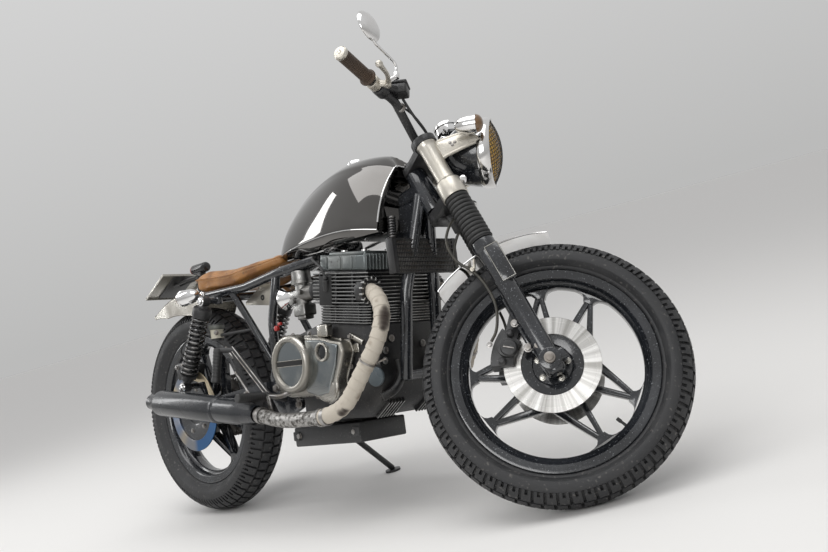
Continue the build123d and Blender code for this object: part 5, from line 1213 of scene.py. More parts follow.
rounded("main_frame", gloss_black, 1.0)
rounded("rear_subframe", gloss_black, 1.0)
rounded("swingarm", gloss_black, 1.6)
frame_bolts = []
for x, z, y in ((500, 365, 109), (582, 476, 103), (590, 311, 103)):
    frame_bolts.append(hexagon((x, -y, z), RIGHT, 17, 7))
placed(mirrored(joined(*frame_bolts)), "frame_bolts", CHASSIS, steel, "steel", "chassis")

# Side trays: one under the rails on each side, pressed from pale dusty sheet metal with
# a flange that is welded to the rails, and a rubber grommet in it.
TRAY = [(333, 631), (449, 613), (454, 618), (470, 674), (464, 679), (412, 676), (404, 670), (336, 640)]
tray = plate(TRAY, 3, 1)
tray.transform(shift(0, -63, 0))
tray_flange = cube((52, 44, 3), shift(438, -83, 676), 1)
placed(mirrored(joined(tray, tray_flange)), "side_trays", CHASSIS, beige_alloy, "cast_aluminium", "chassis")
grommet = turned([(3, 1), (6, 2.4), (8, 1.6), (8.6, 0)], 28, towards((424, -63.4, 640), RIGHT))
placed(mirrored(grommet), "tray_grommets", CHASSIS, black_rubber, "rubber", "chassis")

# The seat: tan leather over foam, tight and low, thick at the back and thin against the
# tank. The pad is swollen by a cloth simulation, then gets its welt and its stitches.
leather = finish("tan_leather", (0.36, 0.16, 0.040), (0.21, 0.088, 0.024), (0.34, 0.54), scale=15,
                 grain=0.55, grain_scale=900, dust=(0.16, 0.085, 0.035), dust_low=0.64, dust_scale=60)
SEAT_STATIONS = (
    # x, half width, top, bottom
    (137, 88, 742, 730),
    (143, 102, 750, 716),
    (154, 111, 755, 706),
    (180, 114, 757, 700),
    (226, 114, 752, 697),
    (288, 114, 744, 693),
    (340, 114, 740, 693),
    (390, 113, 740, 701),
    (438, 107, 742, 707),
    (486, 95, 745, 715),
    (526, 81, 750, 721),
    (546, 70, 753, 726),
)
SEAT_CELLS = 54
SEAT_ROWS = smoothed(SEAT_STATIONS, SEAT_CELLS)


def seat_point(u, v):
    """A point of the pad before it is swollen: u runs round it and v from its tail."""
    x, half, top, bottom = SEAT_ROWS[round(v * SEAT_CELLS)]
    angle = u * 2 * math.pi
    across = math.copysign(abs(math.cos(angle)) ** 0.28, math.cos(angle))
    rise = math.copysign(abs(math.sin(angle)) ** (0.55 if math.sin(angle) > 0 else 0.2), math.sin(angle))
    end = min(1.0, math.sqrt(max(0.0, min(v, 1 - v)) * 14 + 0.04))
    middle = (top + bottom) / 2
    height = rise * (top - bottom) / 2 * (0.55 + 0.45 * end)
    return Vector((x, across * half * (0.86 + 0.14 * end), middle + height))


pad_form = draped(72, SEAT_CELLS, seat_point)
seat_pad = placed(pad_form, "seat_pad", CHASSIS, leather, "tan_leather", "chassis", "seat")
SWELL_LIMIT = 5 * MM
SWELL_FRAMES = 20
remesh = seat_pad.modifiers.new("remesh", "REMESH")
remesh.mode = "VOXEL"
remesh.voxel_size = 5 * MM
graph = bpy.context.evaluated_depsgraph_get()
voxels = bpy.data.meshes.new_from_object(seat_pad.evaluated_get(graph))
seat_pad.modifiers.clear()
seat_pad.data = voxels
resting = [v.co.copy() for v in voxels.vertices]
cloth = seat_pad.modifiers.new("leather", "CLOTH")
cloth.settings.use_pressure = True
cloth.settings.uniform_pressure_force = 4
cloth.settings.effector_weights.gravity = 0
for number in range(SWELL_FRAMES):
    bpy.context.scene.frame_set(number + 1)
graph = bpy.context.evaluated_depsgraph_get()
swollen = bpy.data.meshes.new_from_object(seat_pad.evaluated_get(graph))
seat_pad.modifiers.clear()
seat_pad.data = swollen
bpy.context.scene.frame_set(1)
for v, start in zip(swollen.vertices, resting):
    step = v.co - start
    v.co = start + step * min(1.0, SWELL_LIMIT / max(step.length, 1e-9))
swollen.shade_smooth()
swollen.set_sharp_from_angle(angle=math.radians(70))
seat_soft = seat_pad.modifiers.new("soft", "SUBSURF")
seat_soft.levels = 1
seat_soft.render_levels = 1
graph = bpy.context.evaluated_depsgraph_get()
seat_pad.data = bpy.data.meshes.new_from_object(seat_pad.evaluated_get(graph))
seat_pad.modifiers.clear()
welt_line = []
for side in (1, -1):
    rows = range(2, 53) if side == 1 else range(52, 1, -1)
    for number in rows:
        x, half, top, bottom = SEAT_ROWS[number]
        welt_line.append(Vector((x, side * (half + 2.6), bottom + (top - bottom) * 0.66)))
welt = swept(evened([*welt_line, welt_line[0]], 5), 1.7, 8)
placed(welt, "seat_welt", CHASSIS, leather, "tan_leather", "chassis")
thread = finish("seat_thread", (0.46, 0.30, 0.15), (0.36, 0.22, 0.10), (0.5, 0.7))
stitch_line = evened([p + Vector((0, math.copysign(0.9, p.y), -6)) for p in welt_line[:51]], 7)
stitches = [bar(a, a + (b - a) * 0.55, 0.55, segments=6) for a, b in zip(stitch_line, stitch_line[1:])]
placed(mirrored(joined(*stitches)), "seat_stitches", CHASSIS, thread, "tan_leather", "chassis")

# Rear fender: a pale pressed steel strip over the tyre with a skirt down each side and
# a rolled edge, held to the rails' hoop.
SKIRT_EDGE = ((118.8, 371), (107.5, 333), (90, 314), (76.5, 309), (75.2, 341), (70, 372))
GUARD_R = 376
GUARD_FLAT = 64
GUARD_BEND = 10


def fender_angle(v):
    """Degrees round the rear axle, from the tail forward."""
    return 119 - 49 * v


def skirt_low(angle):
    """The radius of the skirt's lower edge at an angle."""
    for (high_a, high_r), (low_a, low_r) in zip(SKIRT_EDGE, SKIRT_EDGE[1:]):
        if angle >= low_a:
            share = (high_a - min(angle, high_a)) / (high_a - low_a)
            return high_r + (low_r - high_r) * share
    return SKIRT_EDGE[-1][1]


def fender_point(u, v):
    """A point of the rear fender: u runs from skirt to skirt and v from the tail forward."""
    angle = fender_angle(v)
    side = -1 if u < 0.5 else 1
    up = 1 - abs(u - 0.5) * 2
    low = skirt_low(angle)
    if up < 0.4:
        radius, y = low + (GUARD_R - low) * up / 0.4, GUARD_FLAT + GUARD_BEND
    elif up < 0.6:
        turn_by = (up - 0.4) / 0.2 * math.pi / 2
        radius = GUARD_R + GUARD_BEND * math.sin(turn_by)
        y = GUARD_FLAT + GUARD_BEND * math.cos(turn_by)
    else:
        radius = GUARD_R + GUARD_BEND + 2 * math.sin((up - 0.6) / 0.4 * math.pi / 2)
        y = GUARD_FLAT * (1 - up) / 0.4
    x, z = polar(radius, angle)
    return Vector((x, side * y, REAR_AXLE.z + z))


rear_guard = draped(80, 48, fender_point, closed_ends=False)
bmesh.ops.solidify(rear_guard, geom=rear_guard.faces[:], thickness=2.6)
bmesh.ops.recalc_face_normals(rear_guard, faces=rear_guard.faces)
edge_line = [fender_point(0, v / 40) for v in range(41)]
edges_rolled = mirrored(swept(edge_line, 2.4, 8))
tip_line = [fender_point(u / 60, 0) for u in range(61)]
guard_paint = finish("fender_steel", (0.34, 0.33, 0.30), (0.22, 0.205, 0.18), (0.22, 0.4), metal=0.85,
                     scale=11, dust=(0.10, 0.09, 0.08), grain=0.15)
rear_guard = joined(rear_guard, edges_rolled, swept(tip_line, 2.4, 8))
placed(rear_guard, "rear_guard", CHASSIS, guard_paint, "grey_steel", "chassis", "rear_fender")
guard_bolts = [hexagon((112, y, 706), (0, 0, 1), 10, 5) for y in (-40, 40)]
placed(joined(*guard_bolts), "rear_guard_bolts", CHASSIS, steel, "steel", "chassis")

# The number plate, blank, in a folded steel frame on its arm, and the tail lamp: a black
# housing on a post with a red lens to the rear.
PLATE_TURN = shift(-151, 0, 767) @ Matrix.Rotation(math.atan2(64, -128) - math.pi, 4, "Y")
plate_frame = [cube((143, 172, 3.2), PLATE_TURN, 1.2)]
for side in (-1, 1):
    plate_frame.append(cube((143, 3, 9), PLATE_TURN @ shift(0, side * 85, -3), 1))
    plate_frame.append(cube((3, 172, 9), PLATE_TURN @ shift(side * 70, 0, -3), 1))
placed(joined(*plate_frame), "plate_frame", CHASSIS, grey_steel, "grey_steel", "chassis", "plate_holder")
plate_back = [cube((128, 84, 5), PLATE_TURN @ shift(2, 2, -4), 2)]
plate_back.append(cube((8, 40, 50), shift(15, 0, 750), 3))
plate_back.append(cube((22, 24, 74), shift(15, 0, 752), 4))
arm_line = [Vector((-140, 0, 766)), Vector((-60, 0, 772)), Vector((8, 0, 774))]
for y in (-14, 14):
    plate_back.append(swept([p + Vector((0, y, 0)) for p in evened(arm_line, 12)], 5, 12))
placed(joined(*plate_back), "plate_bracket", CHASSIS, satin_black, "black_satin_paint", "chassis")
lamp_line = [(0, 46), (8, 46), (14, 43), (16.6, 38), (17, 28), (17, -30), (16, -33)]
lamp_place = towards((9, 0, 801), AHEAD)
lamp_shell = turned(lamp_line, 40, lamp_place)
black_gloss_plastic = finish("black_plastic", (0.010, 0.010, 0.011), (0.016, 0.016, 0.017), (0.15, 0.3),
                             grain=0.05)
placed(lamp_shell, "tail_lamp_housing", CHASSIS, black_gloss_plastic, "black_plastic", "chassis",
       "tail_lamp")
lamp_red = turned([(16.4, -30), (15.6, -36), (12, -44), (6, -49), (0, -50)], 40, lamp_place)
red_plastic = finish("red_plastic", (0.35, 0.02, 0.015), (0.25, 0.012, 0.01), (0.15, 0.25), coat=0.4)
placed(lamp_red, "tail_lamp_lens", CHASSIS, red_plastic, "black_plastic", "chassis")

# Rear indicators: chrome bullets like the front ones, longer, on stalks bolted to the
# rails, with their lenses to the rear.
shell, lens = blinker((176, -166, 683), (-1, 0, 0), 24, 92)
stalk = joined(bar((190, -116, 684), (190, -146, 684), 7, soften=1), hexagon((190, -121, 684), RIGHT, 18, 5))
placed(mirrored(joined(shell, stalk)), "rear_blinker_shells", CHASSIS, chrome, "chrome", "chassis",
       "rear_indicators")
placed(mirrored(lens), "rear_blinker_lenses", CHASSIS, smoked_amber, "amber_glass", "chassis")

# Shock absorbers: a damper with an eye at each end and a coil spring of dark metallic
# wire between two cups.
spring_paint = finish("spring_paint", (0.07, 0.07, 0.072), (0.16, 0.155, 0.15), (0.16, 0.34), scale=40,
                      metal=0.9, coat=0.3)
SHOCK_FOOT = Vector((100, -158, 409))
SHOCK_HEAD = Vector((255, -158, 658))
shock_way = (SHOCK_HEAD - SHOCK_FOOT).normalized()
shock_place = towards(SHOCK_FOOT, shock_way)
shock_length = (SHOCK_HEAD - SHOCK_FOOT).length
damper = turned([(0, 16), (12, 16), (16, 22), (19, 26), (19, 40), (27, 41), (28.5, 43), (28.5, 46),
                 (19, 47), (19, 138), (17, 141), (8, 142), (8, shock_length - 56), (20, shock_length - 54),
                 (28, shock_length - 50), (29, shock_length - 44), (29, shock_length - 30),
                 (27, shock_length - 24), (14, shock_length - 20), (11, shock_length - 12),
                 (0, shock_length - 12)], 48, shock_place)
eyes = [bar((p.x, -171, p.z), (p.x, -145, p.z), 15, segments=36, soften=1.5)
        for p in (SHOCK_FOOT, SHOCK_HEAD)]
placed(mirrored(joined(damper, *eyes)), "dampers", CHASSIS, satin_black, "black_satin_paint", "chassis",
       "shock_absorbers")
COIL_TURNS = 13
TURN_STEPS = 20
coil_line = []
for number in range(COIL_TURNS * TURN_STEPS + 1):
    turn_by = 2 * math.pi * number / TURN_STEPS
    height = 46 + (shock_length - 98) * number / (COIL_TURNS * TURN_STEPS)
    coil_line.append(Vector((23.2 * math.cos(turn_by), 23.2 * math.sin(turn_by), height)))
coil = swept(coil_line, 4.2, 8)
coil.transform(shock_place)
placed(mirrored(coil), "coil_springs", CHASSIS, spring_paint, "black_gloss_paint", "chassis")
eye_caps = []
NUT = [(0, 9), (6, 8.6), (9, 6), (10, 1), (15, 0.6), (15, -2)]
for p in (SHOCK_FOOT, SHOCK_HEAD):
    eye_caps.append(turned(NUT, 32, towards((p.x, -171, p.z), RIGHT)))
placed(mirrored(joined(*eye_caps)), "shock_nuts", CHASSIS, chrome, "chrome", "chassis")

# Chain: bushed links of two plates each, of steel, greasy and dark. It runs round the
# sprocket on the gearbox and the toothed one that is bolted to the rear wheel.

CHAIN_PITCH = 15.875
CHAIN_Y = 78
COG_X, COG_Z = 592, 385


def chain_spots():
    """Pins of the chain with the outward way at each."""
    rear_r, front_r = 96.0, 42.0
    rise = COG_Z - REAR_AXLE.z
    span = math.hypot(COG_X, rise)
    heading = math.asin(rise / span)
    lean_in = math.asin((rear_r - front_r) / span)
    run = span * math.cos(lean_in)
    first = heading + math.pi / 2 - lean_in
    last = heading - math.pi / 2 + lean_in
    lengths = (run, front_r * (math.pi - 2 * lean_in), run, rear_r * (math.pi + 2 * lean_in))
    count = 2 * round(sum(lengths) / CHAIN_PITCH / 2)
    spots = []
    for number in range(count):
        along = sum(lengths) * number / count
        middle, radius, slide = (0, REAR_AXLE.z), rear_r, 0
        if along < lengths[0]:
            way, slide = first, along
        elif along < lengths[0] + lengths[1]:
            way, middle, radius = first - (along - lengths[0]) / front_r, (COG_X, COG_Z), front_r
        elif along < sum(lengths[:3]):
            way, middle, radius, slide = last, (COG_X, COG_Z), front_r, along - lengths[0] - lengths[1]
        else:
            way = last - (along - sum(lengths[:3])) / rear_r
        x = middle[0] + radius * math.cos(way) + slide * math.sin(way)
        z = middle[1] + radius * math.sin(way) - slide * math.cos(way)
        spots.append(Vector((x, CHAIN_Y, z)))
    return spots


chain_pins = chain_spots()
links = []
for number, here in enumerate(chain_pins):
    following = chain_pins[(number + 1) % len(chain_pins)]
    out = 6.2 if number % 2 else 4.4
    along = (following - here).normalized()
    up = Vector((-along.z, 0, along.x))
    shape = []
    for share, half in ((-0.34, 3.6), (0.0, 6.4), (0.5, 4.6), (1.0, 6.4), (1.34, 3.6)):
        shape.append(here + along * CHAIN_PITCH * share + up * half)
    for share, half in ((1.34, 3.6), (1.0, 6.4), (0.5, 4.6), (0.0, 6.4), (-0.34, 3.6)):
        shape.append(here + along * CHAIN_PITCH * share - up * half)
    for side in (-1, 1):
        link = plate([(p.x, p.z) for p in shape], 1.6, 0)
        link.transform(shift(0, CHAIN_Y + side * out - 0.8, 0))
        links.append(link)
    links.append(bar(here - Vector((0, 6.9, 0)), here + Vector((0, 6.9, 0)), 4.2, segments=8))
chain_steel = finish("chain_steel", (0.16, 0.15, 0.14), (0.05, 0.045, 0.04), (0.3, 0.55), scale=30,
                     metal=1.0)
placed(joined(*links), "link_chain", CHASSIS, chain_steel, "steel", "chassis", "drive_chain")


def toothed(radius, teeth, thick, hub_r):
    """A sprocket: a disc with trapezoid teeth and a thicker hub, turned about Y."""
    outline = []
    for number in range(teeth):
        for share, reach in ((0.0, -4.5), (0.22, -4.5), (0.42, 1.5), (0.58, 1.5), (0.78, -4.5)):
            outline.append(polar(radius + reach, 360 * (number + share) / teeth))
    disc = plate(outline, thick, 0)
    disc.transform(shift(0, -thick / 2, 0))
    return joined(disc, bar((0, -thick, 0), (0, thick, 0), hub_r, segments=40, soften=1.5))


sprocket = toothed(91, 38, 4.6, 52)
sprocket.transform(shift(0, CHAIN_Y, 0))
sprocket = joined(sprocket, bar((0, 68, 0), (0, CHAIN_Y, 0), 51.5, segments=48, soften=1))
sprocket_bolts = []
for number in range(6):
    bolt_x, bolt_z = polar(66, 60 * number)
    sprocket_bolts.append(hexagon((bolt_x, 80.4, bolt_z), LEFT, 13, 6))
placed(joined(sprocket, *sprocket_bolts), "rear_toothed_sprocket", REAR_WHEEL, chain_steel, "steel",
       "rear_wheel", "rear_sprocket")
front_cog = toothed(37, 16, 4.6, 14)
placed(front_cog, "front_toothed_sprocket", CHASSIS @ shift(COG_X, CHAIN_Y, COG_Z), chain_steel, "steel",
       "chassis")

# Foot controls: a dark hanger with a bright-edged strut, the brake pedal and its rod on
# the right, a ribbed peg on each side and the folded pillion peg.
HANGER = ((366, -112, 498), (372, -150, 494))
hanger = [bar(*HANGER, 9, soften=1),
          bar((370, -150, 497), (520, -150, 346), 8, soften=1),
          bar((520, -150, 346), (520, -96, 331), 9, soften=1),
          bar((372, -150, 494), (332, -178, 500), 8, soften=1),
          bar((520, -150, 344), (519, -168, 345), 15, segments=28, soften=2)]
placed(mirrored(joined(*hanger)), "foot_hangers", CHASSIS, satin_black, "black_satin_paint", "chassis",
       "foot_controls")
strut_line = [Vector((370, -158, 500)), Vector((520, -158, 349))]
bright = []
for side in (-4.4, 4.4):
    bright.append(swept(evened([p + Vector((side, 0, side)) for p in strut_line], 20), 1.5, 8))
bright.append(bar((349, -140, 430), (415, -146, 362), 3.2, segments=16))
bright.append(bar((318, -142, 508), (350, -142, 470), 4, segments=16, soften=1))
pedal_line = evened(route([(524, -160, 346), (600, -168, 338), (664, -176, 352)], 30, 6), 5)
bright.append(swept(pedal_line, 6.4, 14))
bright.append(cube((34, 22, 9), shift(664, -176, 354) @ pitched(-10), 2.5))
bright.append(hexagon((421, -158, 361), RIGHT, 12, 6))
bright.append(hexagon((520, -159, 346), RIGHT, 19, 7))
for number in range(4):
    bright.append(cube((3, 20, 3), shift(652 + number * 8, -176, 359.5), 0.8))
placed(mirrored(joined(*bright)), "pedals_and_rods", CHASSIS, steel, "steel", "chassis")
bracket = cube((14, 5, 74), shift(568, -186, 308) @ Matrix.Rotation(math.radians(8), 4, "X"), 1.5)
placed(mirrored(bracket), "muffler_brackets", CHASSIS, stained_steel, "steel", "chassis")
peg_profile = [(9, 0), (12.6, 1)]
for number in range(12):
    low = 3 + number * 7
    peg_profile += [(12.6, low), (13.4, low + 1.5), (13.4, low + 4), (12.6, low + 5.5)]
peg_profile += [(13.2, 88), (11, 90), (0, 90)]
peg_way = Vector((-6, -102, 6)).normalized()
rider_peg = turned(peg_profile, 32, towards(Vector((520, -150, 344)) + peg_way * 18, peg_way))
FOLDED_AT = Vector((330, -178, 502))
FOLDED_WAY = Vector((-18, -8, -96)).normalized()
folded = turned([(0, -4), (11, -4), (13.4, 0), (13.4, 84), (14.6, 86), (14.6, 96), (12, 99), (0, 99)], 28,
                towards(FOLDED_AT, FOLDED_WAY))
for number in range(8):
    ring = turned([(13, -1.6), (14.4, -1), (14.4, 1), (13, 1.6)], 28,
                  towards(FOLDED_AT + FOLDED_WAY * (8 + number * 10), FOLDED_WAY))
    folded = joined(folded, ring)
placed(mirrored(joined(rider_peg, folded)), "peg_rubbers", CHASSIS, black_rubber, "rubber", "chassis")

# Rear brake: a black caliper over the disc with silver bolts, its stay, and a milky
# fluid cup with a dark cap, on a rod from the strut.
rounded("rear_brake", satin_black, 1.6)
CUP_PLACE = towards((265, -132, 534), (2, 0, 50))
cup = turned([(0, 0), (12, 0.5), (18, 3), (19.4, 8), (19.6, 30), (20.6, 32), (20.6, 35)], 40, CUP_PLACE)
milky_plastic = finish("milky_plastic", (0.52, 0.50, 0.42), (0.40, 0.37, 0.28), (0.3, 0.45), grain=0.1)
placed(cup, "fluid_cup", CHASSIS, milky_plastic, "milky_plastic", "chassis")
cup_cap = turned([(20.8, 34), (23.6, 35), (24.2, 37), (24.2, 45), (22.5, 49), (16, 50.5), (0, 51)], 40,
                 CUP_PLACE)
cap_paint = finish("cap_plastic", (0.10, 0.105, 0.09), (0.06, 0.062, 0.055), (0.35, 0.5))
placed(cup_cap, "fluid_cup_cap", CHASSIS, cap_paint, "black_plastic", "chassis")
brake_bolts = [hexagon((x, -103, z), RIGHT, 12, 7) for x, z in ((-28, 478), (10, 482), (36, 470))]
brake_bolts.append(hexagon((290, -150, 556), (0.3, -1, 0), 11, 6))
placed(joined(*brake_bolts), "rear_brake_bolts", CHASSIS, steel, "steel", "chassis")
BRAKE_POINTS = [(22, -104, 500), (4, -108, 530), (60, -112, 560), (180, -104, 566), (262, -122, 540)]
brake_line = evened(route(BRAKE_POINTS, 40), 8)
placed(swept(brake_line, 3, 10), "rear_brake_hose", CHASSIS, black_rubber, "rubber", "chassis")
reds = [bar((548, -112, 533), (548, -124, 533), 8, segments=20, soften=2),
        cube((14, 10, 9), shift(562, -116, 544), 3)]
placed(joined(*reds), "red_connectors", CHASSIS, red_plastic, "black_plastic", "chassis")

# Battery box, oil cooler and breather: thin pressed boxes in satin black; the cooler has
# flat fins between two end tanks, and the hose beside it is bound with wire.
rounded("battery_box", satin_black, 4.0)
box_bolts = [hexagon((x, -100, z), RIGHT, 13, 6) for x, z in ((570, 222), (806, 222))]
box_lugs = [cube((26, 6, 26), shift(x, -102, 222), 4) for x in (560, 816)]
placed(joined(*box_bolts), "battery_box_bolts", CHASSIS, steel, "steel", "chassis")
placed(joined(*box_lugs), "battery_box_lugs", CHASSIS, satin_black, "black_satin_paint", "chassis")
rounded("oil_cooler", engine_black, 0.8)
cooler_fins = []
for number in range(34):
    cooler_fins.append(cube((20, 1.2, 84), shift(1048, -99 + number * 6, 651), 0))
placed(joined(*cooler_fins), "cooler_fins", CHASSIS, steel, "steel", "chassis")
ribbed_line = [Vector((1012 + 8 * n / 120, -70, 655 + 105 * n / 120)) for n in range(121)]
ribbed = swept(ribbed_line, lambda share: 9.4 + 2.4 * abs(math.sin(math.pi * share * 15)), 24)
placed(ribbed, "ribbed_breather", CHASSIS, spring_paint, "rubber", "chassis", "ribbed_hose")

# Side stand and axles: a steel leg with a foot and a wire loop for the boot, in worn
# black, and the two bare steel axles with their nuts.
rounded("side_stand", satin_black, 1.5)
rounded("rear_axle", steel, 1.0)
rounded("front_axle", steel, 1.0)

# Handlebar: black steel tube, with brown ribbed grips, silver end caps, alloy levers on
# their perches, a square fluid box on the right and switch boxes.
rounded("handlebar", satin_black, 0.5)
GRIP_END = Vector((977, -404, 986))
GRIP_WAY = (GRIP_END - Vector((1020, -262, 984))).normalized()
GRIP_FROM = GRIP_END - GRIP_WAY * 118
grip_profile = [(11.6, 0), (20, 0.4), (21.5, 2), (21.5, 5), (20, 6.4), (16.6, 7.5)]
for number in range(17):
    low = 10 + number * 6
    grip_profile += [(15.2, low), (16.6, low + 1.2), (16.6, low + 3.6), (15.2, low + 4.8)]
grip_profile += [(16.2, 113), (11.6, 113.5)]
brown_rubber = finish("brown_rubber", (0.036, 0.021, 0.012), (0.062, 0.037, 0.021), (0.5, 0.7), grain=0.4)
placed(mirrored(turned(grip_profile, 40, towards(GRIP_FROM, GRIP_WAY))), "ribbed_grips", FRONT_END,
       brown_rubber, "brown_rubber", "steering", "grips")
bar_end_cap = turned([(0, 126), (3, 125.6), (4, 124.4), (6, 125.4), (14, 124.4), (17.2, 121), (17.6, 116),
                      (16.8, 113.6), (11, 113)], 40, towards(GRIP_FROM, GRIP_WAY))
placed(mirrored(bar_end_cap), "bar_end_caps", FRONT_END, beige_alloy, "cast_aluminium", "steering")
PERCH = GRIP_FROM - GRIP_WAY * 24
perch = [bar(PERCH - GRIP_WAY * 13, PERCH + GRIP_WAY * 13, 17.6, segments=36, soften=2.5),
         bar(PERCH - GRIP_WAY * 18, PERCH - GRIP_WAY * 50, 19, segments=36, soften=4)]
pivot = PERCH + Vector((34, 4, -4))
perch.append(bar(PERCH + Vector((10, 2, -1)), pivot, 9, 8, segments=20, soften=1.5))
perch.append(bar(pivot + Vector((0, 0, 9)), pivot - Vector((0, 0, 9)), 8.6, segments=28, soften=1.5))
lever_bend = pivot + GRIP_WAY * 46 + Vector((26, 0, -5))
lever_tip = pivot + GRIP_WAY * 116 + Vector((42, 0, -17))
lever_line = evened(route([pivot, lever_bend, lever_tip], 40), 5)
lever = swept(lever_line, lambda share: 6.8 - 2.4 * math.sin(math.pi * min(1, share * 1.1)) * 0.6, 16)
ball = turned([(0, 9), (4, 8.2), (7, 5.8), (8.8, 1.6), (8.6, -3), (6.4, -6.6), (4, -8)], 28,
              towards(lever_line[-1], GRIP_WAY))
placed(mirrored(joined(perch[0], perch[2], perch[3], lever, ball)), "levers_and_perches", FRONT_END,
       beige_alloy, "cast_aluminium", "steering", "hand_controls")
placed(mirrored(perch[1]), "switch_boxes", FRONT_END, satin_black, "black_satin_paint", "steering")
box_at = PERCH + Vector((48, 66, 14))
fluid_box = [cube((42, 44, 24), Matrix.Translation(box_at - Vector((0, 0, 4))), 5),
             cube((44, 46, 7), Matrix.Translation(box_at + Vector((0, 0, 12))), 2.5),
             bar(PERCH + Vector((10, 14, 2)), box_at - Vector((2, 12, 8)), 9, segments=20, soften=1)]
placed(joined(*fluid_box), "front_fluid_box", FRONT_END, satin_black, "black_satin_paint", "steering")
lid_screws = [bar(box_at + Vector((x, y, 15)), box_at + Vector((x, y, 16.6)), 2.6, segments=12)
              for x in (-16, 16) for y in (-16, 16)]
placed(joined(*lid_screws), "fluid_box_screws", FRONT_END, steel, "steel", "steering")

# Two cap bolts close each bar clamp. The brake hose and the throttle cable run from the
# right hand down between the legs, black, and are tied to the bar by steel bands.
BAR_CENTRE = Vector((1080, 0, 918))
clamp_bolts = []
for side in (-1, 1):
    for x, z in ((-15, 8), (8, 15)):
        for y in (-8, 8):
            foot_at = BAR_CENTRE + Vector((x, side * 42 + y, z))
            clamp_bolts.append(bar(foot_at, foot_at + Vector((-2, 0, 8)), 5, segments=20, soften=1.2))
clamp_bolts.append(bar(BAR_CENTRE + Vector((8, -66, 2)), BAR_CENTRE + Vector((8, -72, 3)), 15.5,
                       segments=36, soften=1))
clamp_bolts.append(bar((1061, -163, 965), (1057, -172, 967), 14.5, segments=36, soften=1))
placed(joined(*clamp_bolts), "bar_clamp_bolts", FRONT_END, steel, "steel", "steering")
upper_lines = []
for start, aside, radius in ((box_at + Vector((2, 24, -12)), Vector(), 3.6),
                             (PERCH + Vector((8, 50, -10)), Vector((-3, 5, 9)), 2.8)):
    along_bar = [Vector(p) + aside for p in ((1086, -150, 956), (1112, -86, 931), (1123, -52, 900))]
    down = [Vector((1138, -46, 838)) + aside * 0.6, Vector((1163, -41, 775)), Vector((1172, -34, 736))]
    upper_lines.append(swept(evened(route([start, *along_bar, *down], 30), 6), radius, 12))
placed(joined(*upper_lines), "bar_hose_and_cable", FRONT_END, black_rubber, "rubber", "steering")

# Mirrors: round chrome cases with a rolled rim and a glass that faces the rider, each on
# a thin bent stem.
MIRROR_AT = Vector((1030, -352, 1090))
MIRROR_WAY = Vector((-0.90, 0.38, -0.2)).normalized()
MIRROR_PLACE = towards(MIRROR_AT, MIRROR_WAY)
case = turned([(0, -9), (14, -8.4), (26, -6.4), (34, -3), (38.6, 1), (40.2, 4), (40.6, 6), (40, 7.6),
               (38.4, 7.4), (37.8, 6)], 64, MIRROR_PLACE)
stem_foot = PERCH + Vector((52, 14, 20))
stem_points = [stem_foot, stem_foot + Vector((2, -6, 30)),
               MIRROR_AT + Vector((6, 4, -42)), MIRROR_AT + Vector((5, 0, -10))]
stem = joined(swept(evened(route(stem_points, 16), 4), 3.6, 14),
              bar(stem_foot - Vector((0, 0, 6)), stem_foot + Vector((0, 0, 10)), 8, segments=20, soften=1.5),
              bar(pivot + Vector((-6, 2, 4)), stem_foot, 8, 6, segments=20, soften=1.5))
placed(mirrored(joined(case, stem)), "mirror_cases", FRONT_END, chrome, "chrome", "steering", "mirrors")
mirror_glass = finish("mirror_glass", (0.88, 0.89, 0.90), (0.84, 0.85, 0.86), (0.01, 0.03), metal=1.0)
reflector = turned([(0, 6.2), (20, 6.2), (38, 6.0)], 64, MIRROR_PLACE)
placed(mirrored(reflector), "mirror_glasses", FRONT_END, mirror_glass, "chrome", "steering")

# Front fender: a narrow bright blade over the tyre with rolled edges, on a bridge
# between the legs.
BLADE_R = 339


def blade_point(u, v):
    """A point of the front fender: u runs across it and v from its rear tip forward."""
    angle = math.radians(143 - 53 * v)
    y = (u - 0.5) * 100
    radius = BLADE_R - 0.0016 * y * y * (1 if v < 0.9 else 1 + (v - 0.9) * 3)
    return FRONT_AXLE + Vector((radius * math.cos(angle), y, radius * math.sin(angle)))


blade = draped(24, 40, blade_point, closed_ends=False)
bmesh.ops.solidify(blade, geom=blade.faces[:], thickness=2)
bmesh.ops.recalc_face_normals(blade, faces=blade.faces)
blade_rims = [swept([blade_point(u, v / 40) for v in range(41)], 2, 8) for u in (0.0, 1.0)]
blade_rims += [swept([blade_point(u / 24, v) for u in range(25)], 2, 8) for v in (0.0, 1.0)]
placed(joined(blade, *blade_rims), "front_blade", FRONT_END, chrome, "chrome", "steering", "front_fender")
bridge = [cube((16, 137, 5.5), shift(FORK_OFFSET, 0, 324), 1.5),
          cube((15, 78, 14), shift(FORK_OFFSET, 0, 332), 3)]
placed(joined(*bridge), "fender_bridge", FORK, satin_black, "black_satin_paint", "steering")

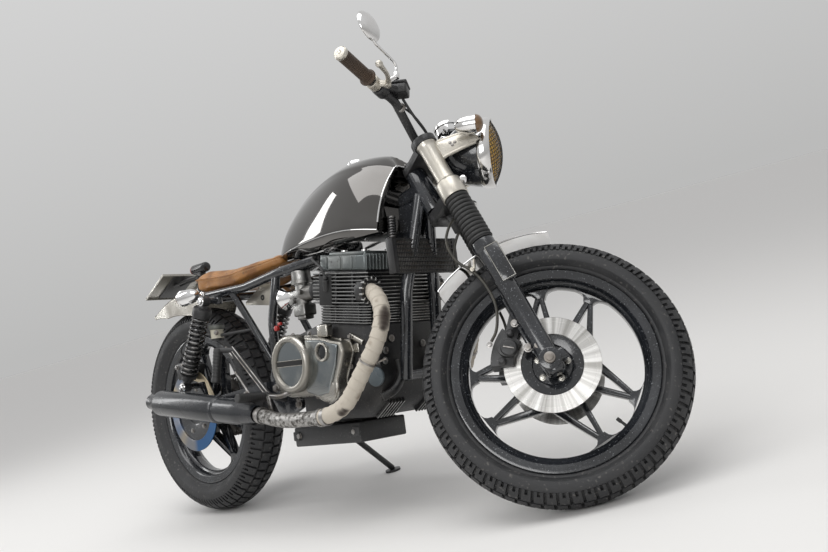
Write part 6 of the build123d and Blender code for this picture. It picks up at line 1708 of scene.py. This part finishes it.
# Front calipers: black castings over the discs, each with a round slotted cap, silver
# bolts and rubber boots, and a thin hose up to a junction under the lower clamp.
rounded("front_calipers", satin_black, 2.2)
cap_at = Vector((1304, -107, 350))
cap_round = turned([(0, 5), (13, 5), (17, 4), (19, 1), (20, -3), (21, -6)], 40, towards(cap_at, RIGHT))
cap_slot = cube((26, 3, 3), Matrix.Translation(cap_at - Vector((0, 5.4, 0))) @ pitched(12), 1)
boots = [turned([(0, 9), (5, 8), (8.4, 4), (8.8, 0), (8.8, -6)], 24, towards(at, RIGHT))
         for at in (Vector((1307, -101, 386)), Vector((1287, -101, 321)))]
placed(mirrored(joined(cap_round, *boots)), "caliper_caps", FRONT_END, satin_black, "black_satin_paint",
       "steering")
placed(mirrored(cap_slot), "caliper_slots", FRONT_END, steel, "steel", "steering")
caliper_bolts = [hexagon((1318, -100, 409), RIGHT, 13, 8), hexagon((1347, -101, 349), RIGHT, 15, 9),
                 hexagon((1369, -112, 349), RIGHT, 12, 7), hexagon((1259, -98, 362), RIGHT, 10, 7)]
placed(mirrored(joined(*caliper_bolts)), "caliper_bolts", FRONT_END, steel, "steel", "steering")
HOSE_POINTS = [(1262, -90, 372), (1276, -88, 398), (1277, -82, 458), (1252, -72, 516), (1217, -62, 562),
               (1176, -56, 586), (1147, -54, 640), (1156, -46, 690), (1172, -36, 716)]
hose_rubber = finish("hose_rubber", (0.03, 0.028, 0.022), (0.055, 0.05, 0.038), (0.35, 0.5), scale=40)
brake_hose = swept(evened(route(HOSE_POINTS, 30), 6), 3.6, 12)
placed(mirrored(brake_hose), "front_brake_hoses", FRONT_END, hose_rubber, "rubber", "steering",
       "brake_hoses")
hose_junction = cube((18, 76, 23.6), shift(22.2, 0, 462), 3)
placed(hose_junction, "hose_junction", FORK, satin_black, "black_satin_paint", "steering")
hose_clip = [bar((1217, -52, 562), (1217, -70, 562), 6, segments=20, soften=1),
             cube((6, 10, 26), shift(1222, -70, 574), 1.5)]
placed(mirrored(joined(*hose_clip)), "hose_clips", FRONT_END, beige_alloy, "cast_aluminium", "steering")
